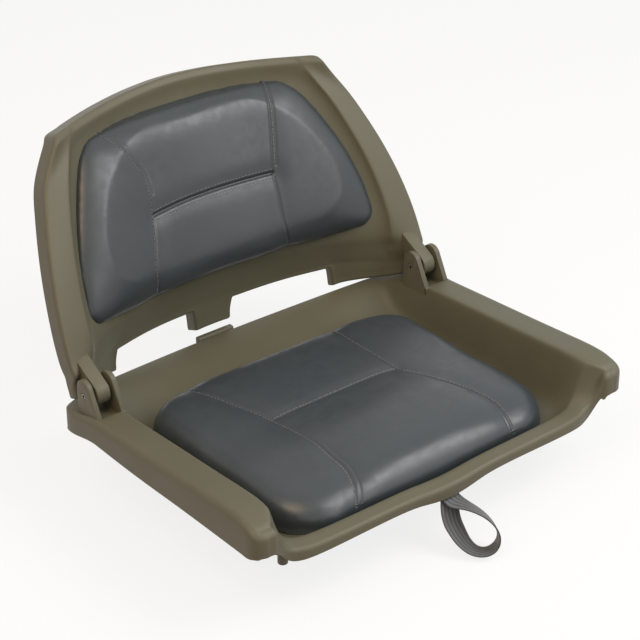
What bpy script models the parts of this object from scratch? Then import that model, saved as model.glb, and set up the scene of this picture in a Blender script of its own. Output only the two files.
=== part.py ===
"""A folding boat seat: a moulded seat pan with two clevis hinges, a moulded folding back,
two upholstered cushions and a webbing hold-down loop. Metres, +Z up, the seat's front towards -Y.
The origin is the centre of the square mounting pattern, on the underside's mounting face."""

import math

import bmesh
import bpy
from mathutils import Matrix, Vector

# Seat pan, in plan
SEAT_WIDTH = 0.511
FRONT_REACH = 0.206          # pattern centre to the front of the arms
RAIL_PROUD = 0.001           # how far the front rail between them stands forward of them
REAR_REACH = 0.208           # to the middle of the rear edge
CORNER_REACH = 0.138         # to the rear corners
ARM_WIDTH = 0.040
PLAN_CORNER = 0.006          # rounding of the four corners in plan
REAR_CURVE_SHARES = (1.6, 0.716)

# Seat pan, heights over the mounting face
SHELL_WALL = 0.003
FRAME_STEP = 0.0004          # between the heights of ribs that cross
FLOOR_TOP = 0.016
ARM_TOP = 0.0655             # at the hinge
ARM_CLIMB = 0.0140           # how much higher its front is
ARM_BOTTOM = 0.0420          # lower edge of the side wall
ARM_FRONT_BOTTOM = 0.0455
ARM_ROUND = 0.008
ARM_RIDGE = 0.004            # inner edge of the arm top
RIDGE_FLARE = 0.013          # how far outwards it turns at the front
RIDGE_FLARE_RUN = 0.034
INNER_RUN = 0.020            # plan width of the sloping inner wall
RAIL_TOP = 0.035
RAIL_BOTTOM = 0.0228
RAIL_CREST = 0.009           # flat top of the front rail
RAIL_RUN = 0.007             # from its crest down to the floor
REAR_RISE_SHARE = 0.3        # how much of the way back the floor stays flat
REAR_TOP = 0.0215            # middle of the rear edge
CORNER_TOP = 0.057           # rear corners, and the floor of the hinge pockets
REAR_SKIRT = 0.013
CORNER_SKIRT = 0.028
STOP_WIDTH = 0.046           # ledge behind the rear edge, under the back's tab
STOP_REACH = 0.009
STOP_THICK = 0.007
STOP_RISE = 0.003

# Hinges
PIN_REACH = 0.105            # pattern centre to the pins' axis
PIN_HEIGHT = 0.083
PIN_RADIUS = 0.003
PIN_BORE = 0.0019
PIN_SLOT_DEGREES = 50
EAR_RADIUS = 0.0125          # round top
EAR_LIFT = 0.0065            # its centre over the pin
EAR_THICK = 0.006
EAR_INSET = 0.006            # from the seat's side to the outer ear's outer face
EAR_SPAN = 0.036             # over both ears of a hinge
EAR_FOOT = 0.028             # how far in front of the pins the ears' feet reach
EAR_ROOT = 0.010             # how deep the ears go into the arm
KNUCKLE_RADIUS = 0.0140
FOLD_CLEARANCE = 0.0025      # between the ears' tops and the back as it folds
KNUCKLE_INSET = 0.010        # from the inner ear's inner face to the knuckle
KNUCKLE_THICK = 0.0165

# Back shell; rises and depths are over and behind this line, which lies near the pins
BACK_LINE_REACH = 0.101
BACK_LINE_HEIGHT = 0.087
BACK_RISE = 0.237            # top edge at the middle
BACK_CORNER_RISE = 0.228
HIP_INSET = 0.0065           # from the seat's side to the back's rails
SHOULDER_TAPER = 0.121       # how much narrower the back is at its top corners
HIP_RISE = 0.017             # lower end of the rails
WAIST_RISE = 0.033
WAIST_DEPTH = 0.104
FOOT_DEPTH = 0.113
LEAN_DEGREES = 22.3
BUCKET_RADIUS = 0.418
SIDE_CURVE_SHARE = 2.0
TOP_CURVE_SHARE = 1.8
BACK_DEPTH = 0.018           # side wall, at the rails' lower ends
BACK_TOP_DEPTH = 0.024
BACK_ROUND = 0.004
BAND_WIDTH = 0.026           # raised border at the sides
TOP_BAND = 0.007
BAND_SLOPE = 0.014
BAND_PROUD = 0.007
BAND_FALL = 0.005            # how far the border's outer edge lies behind the face
FOOT_INSET = 0.015           # from a rail's side to the foot's outer end
FOOT_WIDTH = 0.0745
FOOT_DROP_IN = 0.042         # feet under the pins' height, beside the notches
FOOT_DROP_OUT = 0.0262       # and at their outer ends
FOOT_DEPTH_SHARE = 0.5       # of the side wall's depth, at the lower edge
FOOT_STRAIGHT_SHARE = 0.55   # how little the feet curl back
TAB_DROP = 0.053
TAB_WIDTH = 0.050
NOTCH_DROP_IN = 0.0295       # upper edge of the notches beside the tab
NOTCH_DROP_OUT = 0.0195      # and beside the feet

# Cushions
COVER_THICK = 0.0012
SEAM_DEPTH = 0.0026
SEAM_HALF = 0.005
BOARD_THICK = 0.003
BOARD_INSET = 0.027
FOAM_GAP = 0.0020
SIDE_BULGE = 0.0010
SEAT_COVER_LIFT = 0.0055     # the covers' lower edges over the shells
BACK_COVER_LIFT = 0.0022
SEAT_CUSHION_SETBACK = 0.020 # behind the front rail's face
SEAT_CUSHION_REAR = 0.118
SEAT_CUSHION_PLAY = 0.0045   # between the cushion's side and the foot of the sloping wall
SEAT_CUSHION_CORNER = 0.045
SEAT_CUSHION_REAR_CORNER = (0.128, 0.062)   # across and along
SEAT_CUSHION_SIDE = 0.0235
SEAT_CUSHION_CROWN = 0.013
SEAT_DRAWN_IN = 0.0088       # how far the cover's lower edge is drawn in
SEAT_SEAM_SHARES = (0.582, 0.460, 0.445)   # of the cushion's half width: in front, at the cross seam, at the rear
SEAT_CROSS = -0.018
BACK_CUSHION_LOW = 0.020     # over the pins
BACK_CUSHION_HIGH = 0.215
BACK_CUSHION_INSET = 0.043   # from a rail's side to the cushion, low down
BACK_CUSHION_TAPER = 0.062
BACK_CUSHION_CORNER = 0.022
BACK_CUSHION_ARCH = 0.017    # how much higher its lower edge is at the corners
BACK_CUSHION_SIDE = 0.009
BACK_CUSHION_CROWN = 0.015
BACK_DRAWN_IN = 0.004
BACK_SEAM_SHARES = (0.458, 0.412, 0.553)   # of the cushion's half width: low, at the cross seam, at the top
BACK_CROSS = 0.110

# Fasteners and mounting pattern
PATTERN = 0.127              # 5 in square
INSERT_RADIUS = 0.0055
INSERT_LENGTH = 0.009
INSERT_BORE = 0.0032
BOSS_RADIUS = 0.012
HUB_RADIUS = 0.017
RIB_THICK = 0.004
RIB_START = 0.055            # behind the front, where the long ribs begin
SCREW_RADIUS = 0.0022
SCREW_HEAD = 0.0045
SCREW_HEAD_THICK = 0.0024
SEAT_SCREW_SIDE = 0.100
SEAT_SCREW_SETBACK = 0.077   # of the front pair, behind the front rail's face
SEAT_SCREW_REAR = 0.080
BACK_SCREW_INSET = 0.096     # from the cushion's side, low down
BACK_SCREW_LOW = 0.060       # over the pins
BACK_SCREW_HIGH = 0.175
PEG_INSET = 0.0565           # moulded feet under the front corners, from the seat's side
PEG_BACK = 0.032
PEG_FOOT = 0.003             # over the mounting face
PEG_RADIUS = 0.0055
PEG_HEIGHT = 0.034

# Hold-down loop
STRAP_WIDTH = 0.025
STRAP_THICK = 0.0016
STRAP_BACK = 0.020           # fixing behind the front rail's face
STRAP_SIDE = 0.001           # centre plane to the fixing
STRAP_TAB = 0.022            # length of the clamped ends
PAD_MARGIN = 0.003           # of the moulded pad round the clamped ends
STRAP_LEAD = 0.0045          # level run of the loop where it leaves its ends
STRAP_GAP = 0.0007           # between the loop, which swings, and its clamped ends
WASHER_RADIUS = 0.007
WASHER_THICK = 0.0012
LOOP_PATH = (                # from the clamped ends' front: across, forward and up, and the width's turn and dip
    (-0.0042, 0.0088, -0.0110, 0, -3),
    (-0.0052, 0.0144, -0.0235, 1, -6),
    (-0.0044, 0.0207, -0.0313, 5, -8),
    (-0.0032, 0.0269, -0.0385, 12, -9),
    (-0.0014, 0.0324, -0.0439, 20, -10),
    (0.0014, 0.0379, -0.0483, 28, -10),
    (0.0052, 0.0429, -0.0509, 37, -10),
    (0.0097, 0.0472, -0.0517, 46, -11),
    (0.0147, 0.0506, -0.0509, 53, -13),
    (0.0197, 0.0527, -0.0483, 57, -16),
    (0.0247, 0.0533, -0.0435, 57, -20),
    (0.0280, 0.0517, -0.0378, 54, -26),
    (0.0291, 0.0489, -0.0328, 51, -28),
    (0.0283, 0.0442, -0.0273, 49, -28),
    (0.0263, 0.0388, -0.0222, 47, -26),
    (0.0231, 0.0327, -0.0175, 45, -23),
    (0.0183, 0.0257, -0.0132, 42, -19),
    (0.0127, 0.0184, -0.0094, 36, -15),
    (0.0072, 0.0124, -0.0060, 24, -9),
    (0.0032, 0.0085, -0.0030, 10, -4),
)

GAP = 0.0003                 # between pieces that touch
PANEL_GAP = 0.0008           # between curved sheets that touch
BURY = 0.002                 # how far a moulded rib or boss runs into the wall it grows from
OVERRUN = 0.005              # how far a cutter runs past its wall

HALF = SEAT_WIDTH / 2
RAIL_REACH = FRONT_REACH + RAIL_PROUD
SEAT_CUSHION_FRONT = RAIL_REACH - SEAT_CUSHION_SETBACK
SEAT_SCREW_FRONT = SEAT_SCREW_SETBACK - RAIL_REACH
EAR_OUTER = HALF - EAR_INSET
EAR_INNER = EAR_OUTER - EAR_SPAN
KNUCKLE_INNER = EAR_INNER + KNUCKLE_INSET
KNUCKLE_OUTER = KNUCKLE_INNER + KNUCKLE_THICK
HIP_WIDTH = SEAT_WIDTH - HIP_INSET * 2
SHOULDER_WIDTH = HIP_WIDTH - SHOULDER_TAPER
FOOT_OUTER = HIP_WIDTH / 2 - FOOT_INSET
NOTCH_END = FOOT_OUTER - FOOT_WIDTH
SEAT_CUSHION_HALF = HALF - ARM_WIDTH - INNER_RUN - SEAT_CUSHION_PLAY
BACK_CUSHION_HALF = HIP_WIDTH / 2 - BACK_CUSHION_INSET
BACK_SCREW_SIDE = BACK_CUSHION_HALF - BACK_SCREW_INSET
PEG_SIDE = HALF - PEG_INSET
SEAT_SEAMS = [SEAT_CUSHION_HALF * share for share in SEAT_SEAM_SHARES]
BACK_SEAMS = [BACK_CUSHION_HALF * share for share in BACK_SEAM_SHARES]
TAN_LEAN = math.tan(math.radians(LEAN_DEGREES))
LEAN = math.radians(LEAN_DEGREES)


def mix(a, b, t):
    return a + (b - a) * t


def smooth(t):
    t = min(max(t, 0.0), 1.0)
    return t * t * (3 - 2 * t)


def material(name, color, roughness, metallic=0.0):
    made = bpy.data.materials.new(name)
    made.use_nodes = True
    shader = made.node_tree.nodes["Principled BSDF"]
    shader.inputs["Base Color"].default_value = (*color, 1)
    shader.inputs["Roughness"].default_value = roughness
    shader.inputs["Metallic"].default_value = metallic
    return made


def finish(bm, name, finish_material, sharp_degrees=35):
    """Turns a bmesh into a named, smooth-shaded object."""
    bmesh.ops.recalc_face_normals(bm, faces=bm.faces)
    mesh = bpy.data.meshes.new(name)
    bm.to_mesh(mesh)
    bm.free()
    mesh.shade_smooth()
    mesh.set_sharp_from_angle(angle=math.radians(sharp_degrees))
    mesh.materials.append(finish_material)
    made = bpy.data.objects.new(name, mesh)
    bpy.context.collection.objects.link(made)
    return made


def tool(bm, name):
    """A helper solid for a Boolean, left out of every render."""
    made = finish(bm, name, bpy.data.materials["helper"])
    made.hide_render = True
    made.display_type = "WIRE"
    return made


def boolean(target, helper, operation):
    modifier = target.modifiers.new(f"{operation.lower()} {helper.name}", "BOOLEAN")
    modifier.operation = operation
    modifier.object = helper


def thicken(target, thickness):
    modifier = target.modifiers.new("wall", "SOLIDIFY")
    modifier.thickness = thickness
    modifier.offset = -1


def prism(points, low, high, axis="X"):
    """A solid with this outline, between two heights along an axis. The outline's points are the other two
    coordinates in X, Y, Z order."""
    place = {"X": lambda a, b, c: (c, a, b), "Y": lambda a, b, c: (a, c, b), "Z": lambda a, b, c: (a, b, c)}[axis]
    bm = bmesh.new()
    ends = [[bm.verts.new(place(a, b, c)) for a, b in points] for c in (low, high)]
    bm.faces.new(ends[0])
    bm.faces.new(list(reversed(ends[1])))
    for i in range(len(points)):
        j = (i + 1) % len(points)
        bm.faces.new((ends[0][i], ends[1][i], ends[1][j], ends[0][j]))
    bmesh.ops.recalc_face_normals(bm, faces=bm.faces)
    return bm


def arc(centre, radius, start, stop, steps):
    """Points of an arc, angles in degrees."""
    angles = [math.radians(mix(start, stop, k / steps)) for k in range(steps + 1)]
    return [(centre[0] + radius * math.cos(a), centre[1] + radius * math.sin(a)) for a in angles]


def circle(centre, radius, steps):
    return arc(centre, radius, 0, 360 * (steps - 1) / steps, steps - 1)


def turned(profile, place, steps=16):
    """A solid of revolution from (radius, height) points, closed on its axis or as a ring, placed by a matrix."""
    bm = bmesh.new()
    closed_ring = all(radius > 0 for radius, _ in profile)
    rings = []
    for radius, height in profile:
        if radius == 0:
            rings.append([bm.verts.new((0, 0, height))] * steps)
        else:
            rings.append([bm.verts.new((x, y, height)) for x, y in circle((0, 0), radius, steps)])
    pairs = list(zip(rings, rings[1:])) + ([(rings[-1], rings[0])] if closed_ring else [])
    for a, b in pairs:
        for i in range(steps):
            j = (i + 1) % steps
            bm.faces.new(dict.fromkeys((a[i], a[j], b[j], b[i])))
    bmesh.ops.transform(bm, matrix=place, verts=bm.verts)
    bmesh.ops.recalc_face_normals(bm, faces=bm.faces)
    return bm


def sheet(rows):
    """A bmesh of quads over rows of points. A cell with a missing corner (None) is left out."""
    bm = bmesh.new()
    verts = [[point and bm.verts.new(point) for point in row] for row in rows]
    for low, high in zip(verts, verts[1:]):
        for i in range(len(low) - 1):
            corners = (low[i], low[i + 1], high[i + 1], high[i])
            if None not in corners:
                bm.faces.new(corners)
    return bm


def skirt(bm, back, profile):
    """Grows a wall from the sheet's open edge. profile(point, k) gives, for step k, the distance out and the
    distance back from the edge's own point, and None after the last step. Returns the wall's last loop."""
    edge = next(e for e in bm.edges if e.is_boundary)
    face = edge.link_faces[0]
    loop = next(corner for corner in face.loops if corner.edge == edge)
    ordered = [loop.vert]
    following = {}
    for candidate in bm.edges:
        if candidate.is_boundary:
            corner = candidate.link_loops[0]
            following[corner.vert] = corner.link_loop_next.vert
    while following[ordered[-1]] != ordered[0]:
        ordered.append(following[ordered[-1]])
    count = len(ordered)
    outward = []
    for i, vert in enumerate(ordered):
        sides = []
        for a, b in ((ordered[i - 1], vert), (vert, ordered[(i + 1) % count])):
            sides.append(((b.co - a.co).cross(-back)).normalized())
        total = sides[0] + sides[1]
        outward.append(total / max(total.length_squared / 2, 0.5))
    previous = ordered
    start = [vert.co.copy() for vert in ordered]
    step = 0
    while profile(start[0], step) is not None:
        current = []
        for point, out in zip(start, outward):
            aside, down = profile(point, step)
            current.append(bm.verts.new(point + out * aside + back * down))
        for i in range(count):
            j = (i + 1) % count
            bm.faces.new((previous[j], previous[i], current[i], current[j]))
        previous = current
        step += 1
    return previous


def rear_edge(x):
    """Depth and height of the seat's rear edge at a distance from the centre plane."""
    bow, fullness = REAR_CURVE_SHARES
    share = min(abs(x) / HALF, 1.0) ** bow
    return mix(CORNER_REACH, REAR_REACH, (1 - share) ** fullness), mix(REAR_TOP, CORNER_TOP, share)


def seat_columns(y):
    """Distances from the centre plane and heights over the arm, the inner wall and the floor, from outside in."""
    climb = (PIN_REACH - y) / (PIN_REACH + FRONT_REACH)
    top = ARM_TOP + ARM_CLIMB * min(climb, 1.0)
    ridge = HALF - ARM_WIDTH
    floor = ridge - INNER_RUN
    drop = top - FLOOR_TOP
    return [
        (HALF - ARM_ROUND, top, 1.0),
        (mix(ridge, HALF, 0.5), top, 1.0),
        (ridge + ARM_RIDGE, top, 1.0),
        (ridge, top - ARM_RIDGE * 0.6, 1.0),
        (mix(ridge, floor, 0.30), top - drop * 0.42, 0.80),
        (mix(ridge, floor, 0.62), top - drop * 0.80, 0.45),
        (floor, FLOOR_TOP + drop * 0.05, 0.18),
        (floor - INNER_RUN * 0.5, FLOOR_TOP, 0.05),
        (floor * 0.80, FLOOR_TOP, 0.0),
        (floor * 0.36, FLOOR_TOP, 0.0),
        (STOP_WIDTH / 2, FLOOR_TOP, 0.0),
        (0.0, FLOOR_TOP, 0.0),
    ]


def seat_sheet():
    """Rows of points of the seat's upper face, from the front edge to the rear edge."""
    front_shares = (1.0, 1.0, 1.0, 0.96, 0.66, 0.34, 0.08, 0.0, 0.0, 0.0, 0.0, 0.0)
    slope_shares = (8.0, 8.0, 8.0, 8.0, 7.5, 6.5, 5.5, 2.8, 1.3, 1.0, 1.0, 1.0)
    flare_shares = (0.0, 0.3, 1.0, 1.0, 0.8, 0.5, 0.2, 0.0, 0.0, 0.0, 0.0, 0.0)
    rows = []
    crest = PLAN_CORNER + RAIL_CREST
    inward = (0.0, PLAN_CORNER * 0.3, PLAN_CORNER, crest)
    inward += tuple(crest + RAIL_RUN * times for times in (0.5, 1, 3.5, 8))
    foot = PIN_REACH - EAR_FOOT
    start = -FRONT_REACH + inward[-1]
    middle = [mix(start, foot, share) for share in (0.3, 0.65, 1.0)]
    for index, into in enumerate(inward):
        row = []
        round_share = (0.0, 0.3, 1.0)[min(index, 2)]
        pull = PLAN_CORNER - PLAN_CORNER * math.sqrt(1 - (1 - round_share) ** 2)
        columns = seat_columns(-FRONT_REACH + into)
        for (x, z, arm), high, flare, reach in zip(columns, front_shares, flare_shares, slope_shares):
            y = into - mix(RAIL_REACH - ARM_ROUND * 0.6, FRONT_REACH - ARM_ROUND, high)
            height = mix(RAIL_TOP, columns[0][1], high)
            if index < 2:
                height -= mix(0.1, 0.2, high) * ARM_ROUND * (1 - round_share)
            height = mix(height, z, smooth((into - crest) / (RAIL_RUN * reach)))
            squeeze = pull * min(max((x - (HALF - ARM_WIDTH)) / (ARM_WIDTH - ARM_ROUND), 0.0), 1.0)
            turned_out = RIDGE_FLARE * flare * max(1 - into / RIDGE_FLARE_RUN, 0.0) ** 2
            row.append(Vector((x - squeeze + turned_out, y, height)))
        rows.append(row)
    for y in middle:
        rows.append([Vector((x, y, z)) for x, z, _ in seat_columns(y)])
    for share in (0.045, 0.25, 0.48, 0.68, 0.85, 1.0):
        row = []
        for x, z, arm in seat_columns(foot):
            depth, height = rear_edge(x + (ARM_ROUND if x > HALF - ARM_WIDTH else 0.0))
            end = depth - ARM_RIDGE
            pull = ARM_RIDGE * 0.4 * share**8 if x > HALF - ARM_ROUND * 1.5 else 0.0
            pocket = min(z, mix(z, CORNER_TOP, arm))
            flat = REAR_RISE_SHARE * (1 - arm)
            rising = smooth((share - flat) / (1 - flat))
            widen = (ARM_ROUND - ARM_RIDGE) * smooth(share) if x > HALF - ARM_ROUND * 1.5 else 0.0
            row.append(Vector((x + widen - pull, mix(foot, end, share), mix(pocket, height, rising))))
        rows.append(row)
    return [[Vector((-p.x, p.y, p.z)) for p in row[:-1]] + row[::-1] for row in rows]


def seat_skirt(point, step):
    """The seat's outer wall: a rounded upper edge, then straight down to the lower edge."""
    front = -FRONT_REACH + ARM_ROUND * 1.4
    side = smooth((abs(point.x) - (HALF - ARM_WIDTH * 1.9)) / (ARM_WIDTH * 1.5))
    if point.y < front:
        radius = mix(ARM_ROUND * 0.6, ARM_ROUND, side)
        bottom = mix(RAIL_BOTTOM, ARM_FRONT_BOTTOM, side)
    elif point.y < PIN_REACH - EAR_FOOT:
        radius = ARM_ROUND
        bottom = mix(ARM_BOTTOM, ARM_FRONT_BOTTOM, smooth((front - point.y) / ARM_WIDTH + 1))
    else:
        share = (point.y - (PIN_REACH - EAR_FOOT)) / (CORNER_REACH - (PIN_REACH - EAR_FOOT))
        radius = mix(ARM_ROUND, ARM_RIDGE, smooth(share))
        low = rear_edge(point.x)[1] - mix(REAR_SKIRT, CORNER_SKIRT, (abs(point.x) / HALF) ** 2)
        bottom = mix(ARM_BOTTOM, low, smooth(share))
    down = point.z - bottom
    out = math.sin(math.radians(45))
    steps = ((radius * out, radius * (1 - out)), (radius, radius), (radius, down))
    return steps[step] if step < len(steps) else None


def ear_outline():
    """An ear's outline in Y and Z: round over the pin, upright behind, with a long slope in front to a foot."""
    centre = (PIN_REACH, PIN_HEIGHT + EAR_LIFT)
    foot = (PIN_REACH - EAR_FOOT + BURY / 2, ARM_TOP - ARM_RIDGE / 2)
    rear = PIN_REACH + EAR_RADIUS
    root = CORNER_TOP - EAR_ROOT
    return arc(centre, EAR_RADIUS, 0, 158, 12) + [foot, (foot[0], root), (rear + BURY, root), (rear + BURY, CORNER_TOP + BURY)]


def make_seat_shell(plastic):
    bm = sheet(seat_sheet())
    bmesh.ops.recalc_face_normals(bm, faces=bm.faces)
    if sum((face.normal * face.calc_area() for face in bm.faces), Vector()).z < 0:
        bmesh.ops.reverse_faces(bm, faces=bm.faces)
    skirt(bm, Vector((0, 0, -1)), seat_skirt)
    shell = finish(bm, "seat_shell", plastic)
    thicken(shell, SHELL_WALL)
    for side in (-1, 1):
        for low in (EAR_INNER, EAR_OUTER - EAR_THICK):
            ear = tool(prism(ear_outline(), side * low, side * (low + EAR_THICK)), f"ear {side} {low}")
            boolean(shell, ear, "UNION")
    return shell


def back_depth(x, rise, straight=None):
    """How far behind its line the back's face lies, at a distance from the centre plane and a rise: a leaning
    bucket over the waist, and under it a short curl back, less of it at the feet and none at the sides."""
    centre = WAIST_DEPTH + TAN_LEAN * (rise - WAIST_RISE)
    if rise < WAIST_RISE:
        if straight is None:
            straight = FOOT_STRAIGHT_SHARE * smooth((abs(x) - NOTCH_END) / (FOOT_OUTER - NOTCH_END))
        curl = mix(WAIST_DEPTH, FOOT_DEPTH, smooth((WAIST_RISE - rise) / (WAIST_RISE + NOTCH_DROP_IN)))
        centre = mix(curl, centre, straight)
    return centre - (BUCKET_RADIUS - math.sqrt(BUCKET_RADIUS**2 - x * x))


def back_point(x, rise, proud=0.0, straight=None):
    """A point of the back's face, moved out along its normal."""
    step = SHELL_WALL
    here = back_depth(x, rise, straight)
    along = Vector((step, back_depth(x + step, rise, straight) - here, 0))
    up = Vector((0, back_depth(x, rise + step, straight) - here, step))
    normal = along.cross(up).normalized()
    return Vector((x, BACK_LINE_REACH + here, BACK_LINE_HEIGHT + rise)) + normal * proud


def behind_ears(point):
    """The point, or where it would meet the ears as the back folds, the place straight behind it that clears."""
    clear = EAR_LIFT + EAR_RADIUS + FOLD_CLEARANCE
    above = point.z - PIN_HEIGHT
    if abs(above) >= clear:
        return point
    return Vector((point.x, max(point.y, PIN_REACH + math.sqrt(clear**2 - above**2)), point.z))


def back_half_width(rise):
    share = max((rise - HIP_RISE) / (BACK_CORNER_RISE - HIP_RISE), 0.0)
    return mix(HIP_WIDTH, SHOULDER_WIDTH, share**SIDE_CURVE_SHARE) / 2


def back_top(x):
    return mix(BACK_RISE, BACK_CORNER_RISE, min(abs(x) / (SHOULDER_WIDTH / 2), 1.0) ** TOP_CURVE_SHARE)


def back_sheet():
    """Rows of points of the back's front face, from the feet up. None marks where the outline is cut away."""
    foot_inner = FOOT_OUTER - BAND_SLOPE
    tab, notch = TAB_WIDTH / 2 / foot_inner, NOTCH_END / foot_inner
    panel_shares = (mix(notch, 1, 0.5), notch, mix(tab, notch, 0.66), mix(tab, notch, 0.33), tab, 0.0)
    rows = []
    heights = [("foot", 0.0), ("notch", 0.0), ("rise", 0.0), ("rise", 0.75)]
    heights += [("rail", share) for share in (0.0, 0.10, 0.22, 0.36, 0.50, 0.64, 0.78, 0.88)]
    heights += [("top", BAND_SLOPE + TOP_BAND), ("top", TOP_BAND), ("top", TOP_BAND * 0.5), ("top", 0.0)]
    for kind, value in heights:
        if kind == "top":
            low = BACK_CORNER_RISE - value
        elif kind == "rail":
            low = mix(HIP_RISE + BACK_ROUND, BACK_CORNER_RISE - BAND_SLOPE - TOP_BAND, value)
        else:
            low = HIP_RISE * value
        half = back_half_width(max(low, HIP_RISE))
        pull = {0.0: 0.4, TOP_BAND * 0.5: 0.1}.get(value, 0.0) if kind == "top" else 0.0
        edge = half - BACK_ROUND - pull * TOP_BAND
        inner = half - BAND_WIDTH
        if kind in ("foot", "notch"):
            inner = FOOT_OUTER - BACK_ROUND
        base = inner - BAND_SLOPE
        ridge_back = 0.2 if kind in ("rail", "top") else 0.5
        across = [edge, mix(edge, inner, 0.5), inner, inner - BAND_SLOPE * ridge_back, base]
        across += [base * share for share in panel_shares]
        row = []
        for column, x in enumerate(across):
            side = (-BAND_FALL / BAND_PROUD, 0.25, 1.0, 1 - ridge_back * 1.2, 0.0)[column] if column < 5 else 0.0
            fade = {"foot": 0.0, "notch": 0.1, "rise": 0.25 + value / 4}.get(kind, 1.0)
            rise = low
            if kind == "top":
                rise = back_top(x) - BACK_ROUND - value
                fade = 1.0
                side = max(side, {0.0: 0.85, TOP_BAND * 0.5: 1.0, TOP_BAND: 0.9}.get(value, 0.0))
            elif kind == "rail":
                rise = mix(low, low + back_top(x) - BACK_CORNER_RISE, value)
            in_notch = 6 <= column <= 9
            in_tab = column >= 9
            if kind == "foot":
                share = (x - NOTCH_END) / (FOOT_OUTER - NOTCH_END)
                rise = BACK_ROUND - (TAB_DROP if in_tab else mix(FOOT_DROP_IN, FOOT_DROP_OUT, share))
            elif kind == "notch":
                share = min(max((x - TAB_WIDTH / 2) / (NOTCH_END - TAB_WIDTH / 2), 0.0), 1.0)
                rise = BACK_ROUND - mix(NOTCH_DROP_IN, NOTCH_DROP_OUT, share)
            if in_notch and kind == "foot":
                x += {6: BACK_ROUND, 9: -BACK_ROUND}.get(column, 0.0)
            if column < 2 and kind == "foot":
                row.append(None)
            elif 7 <= column <= 8 and kind == "foot":
                row.append(None)
            else:
                straight = 1.0 if column < 2 else None
                point = back_point(x, rise, BAND_PROUD * side * fade, straight)
                row.append(behind_ears(point) if column < 4 and kind in ("notch", "rise") else point)
        rows.append(row)
    return [[p and Vector((-p.x, p.y, p.z)) for p in row[:-1]] + row[::-1] for row in rows]


def back_skirt(point, step):
    """The back's outer wall: a rounded edge, then straight back."""
    out = math.sin(math.radians(45))
    rise = point.z - BACK_LINE_HEIGHT
    if rise < WAIST_RISE and abs(point.x) > FOOT_OUTER - BACK_ROUND / 2:
        stood_back = point.y - BACK_LINE_REACH - back_depth(point.x, rise, 1.0)
        depth = max(BACK_DEPTH - max(stood_back - BAND_FALL, 0.0) * math.cos(LEAN), BACK_ROUND * 1.5)
    else:
        low = smooth((HIP_RISE - rise) / (HIP_RISE + NOTCH_DROP_OUT))
        high = smooth((rise - HIP_RISE) / (BACK_CORNER_RISE - HIP_RISE))
        depth = mix(BACK_DEPTH, BACK_TOP_DEPTH, high) * mix(1, FOOT_DEPTH_SHARE, low)
    steps = ((BACK_ROUND * out, BACK_ROUND * (1 - out)), (BACK_ROUND, BACK_ROUND), (BACK_ROUND, depth))
    return steps[step] if step < len(steps) else None


def make_back_shell(plastic):
    bm = sheet(back_sheet())
    bmesh.ops.recalc_face_normals(bm, faces=bm.faces)
    if sum((face.normal * face.calc_area() for face in bm.faces), Vector()).y > 0:
        bmesh.ops.reverse_faces(bm, faces=bm.faces)
    skirt(bm, Vector((0, math.cos(LEAN), -math.sin(LEAN))), back_skirt)
    shell = finish(bm, "back_shell", plastic)
    thicken(shell, SHELL_WALL)
    middle = mix(KNUCKLE_INNER, KNUCKLE_OUTER, 0.5)
    backward = Vector((0, math.cos(LEAN), -math.sin(LEAN)))
    upper = back_point(middle, HIP_RISE + BACK_ROUND * 2, -SHELL_WALL / 2, 1.0)
    lower = behind_ears(back_point(middle, -NOTCH_DROP_OUT + BACK_ROUND * 2, 0.0, 1.0)) + backward * SHELL_WALL / 2
    outline = arc((PIN_REACH, PIN_HEIGHT), KNUCKLE_RADIUS, 130, 290, 10)
    outline += [(lower.y, lower.z), (upper.y + SHELL_WALL, upper.z - BURY), (upper.y, upper.z)]
    for side in (-1, 1):
        knuckle = tool(prism(outline, side * KNUCKLE_INNER, side * KNUCKLE_OUTER), f"knuckle {side}")
        boolean(shell, knuckle, "UNION")
    return shell


def seat_half(y):
    """Half width of the seat cushion at a depth."""
    across, along = SEAT_CUSHION_REAR_CORNER
    front_share = min(max(1 - (y + SEAT_CUSHION_FRONT) / SEAT_CUSHION_CORNER, 0.0), 1.0)
    rear_share = min(max(1 - (SEAT_CUSHION_REAR - y) / along, 0.0), 1.0)
    return (SEAT_CUSHION_HALF - SEAT_CUSHION_CORNER * (1 - math.sqrt(1 - front_share**2))
            - across * (1 - math.sqrt(1 - rear_share**2)))


def back_half(rise):
    """Half width of the back cushion at a height over the pins."""
    along = (rise - BACK_CUSHION_LOW) / (BACK_CUSHION_HIGH - BACK_CUSHION_LOW)
    nearest = min(rise - BACK_CUSHION_LOW, BACK_CUSHION_HIGH - rise)
    round_share = min(max(1 - nearest / BACK_CUSHION_CORNER, 0.0), 1.0)
    return (BACK_CUSHION_HALF - BACK_CUSHION_TAPER * along**2.4
            - BACK_CUSHION_CORNER * (1 - math.sqrt(1 - round_share**2)))


def seam_at(seams, along, cross):
    """Distance of a seam from the centre plane; along runs from 0 to 1, and the cross seam lies at cross."""
    if along < cross:
        return mix(seams[1], seams[0], smooth((cross - along) / cross) * 0.5 + (cross - along) / cross * 0.5)
    return mix(seams[1], seams[2], ((along - cross) / (1 - cross)) ** 0.8)


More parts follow.
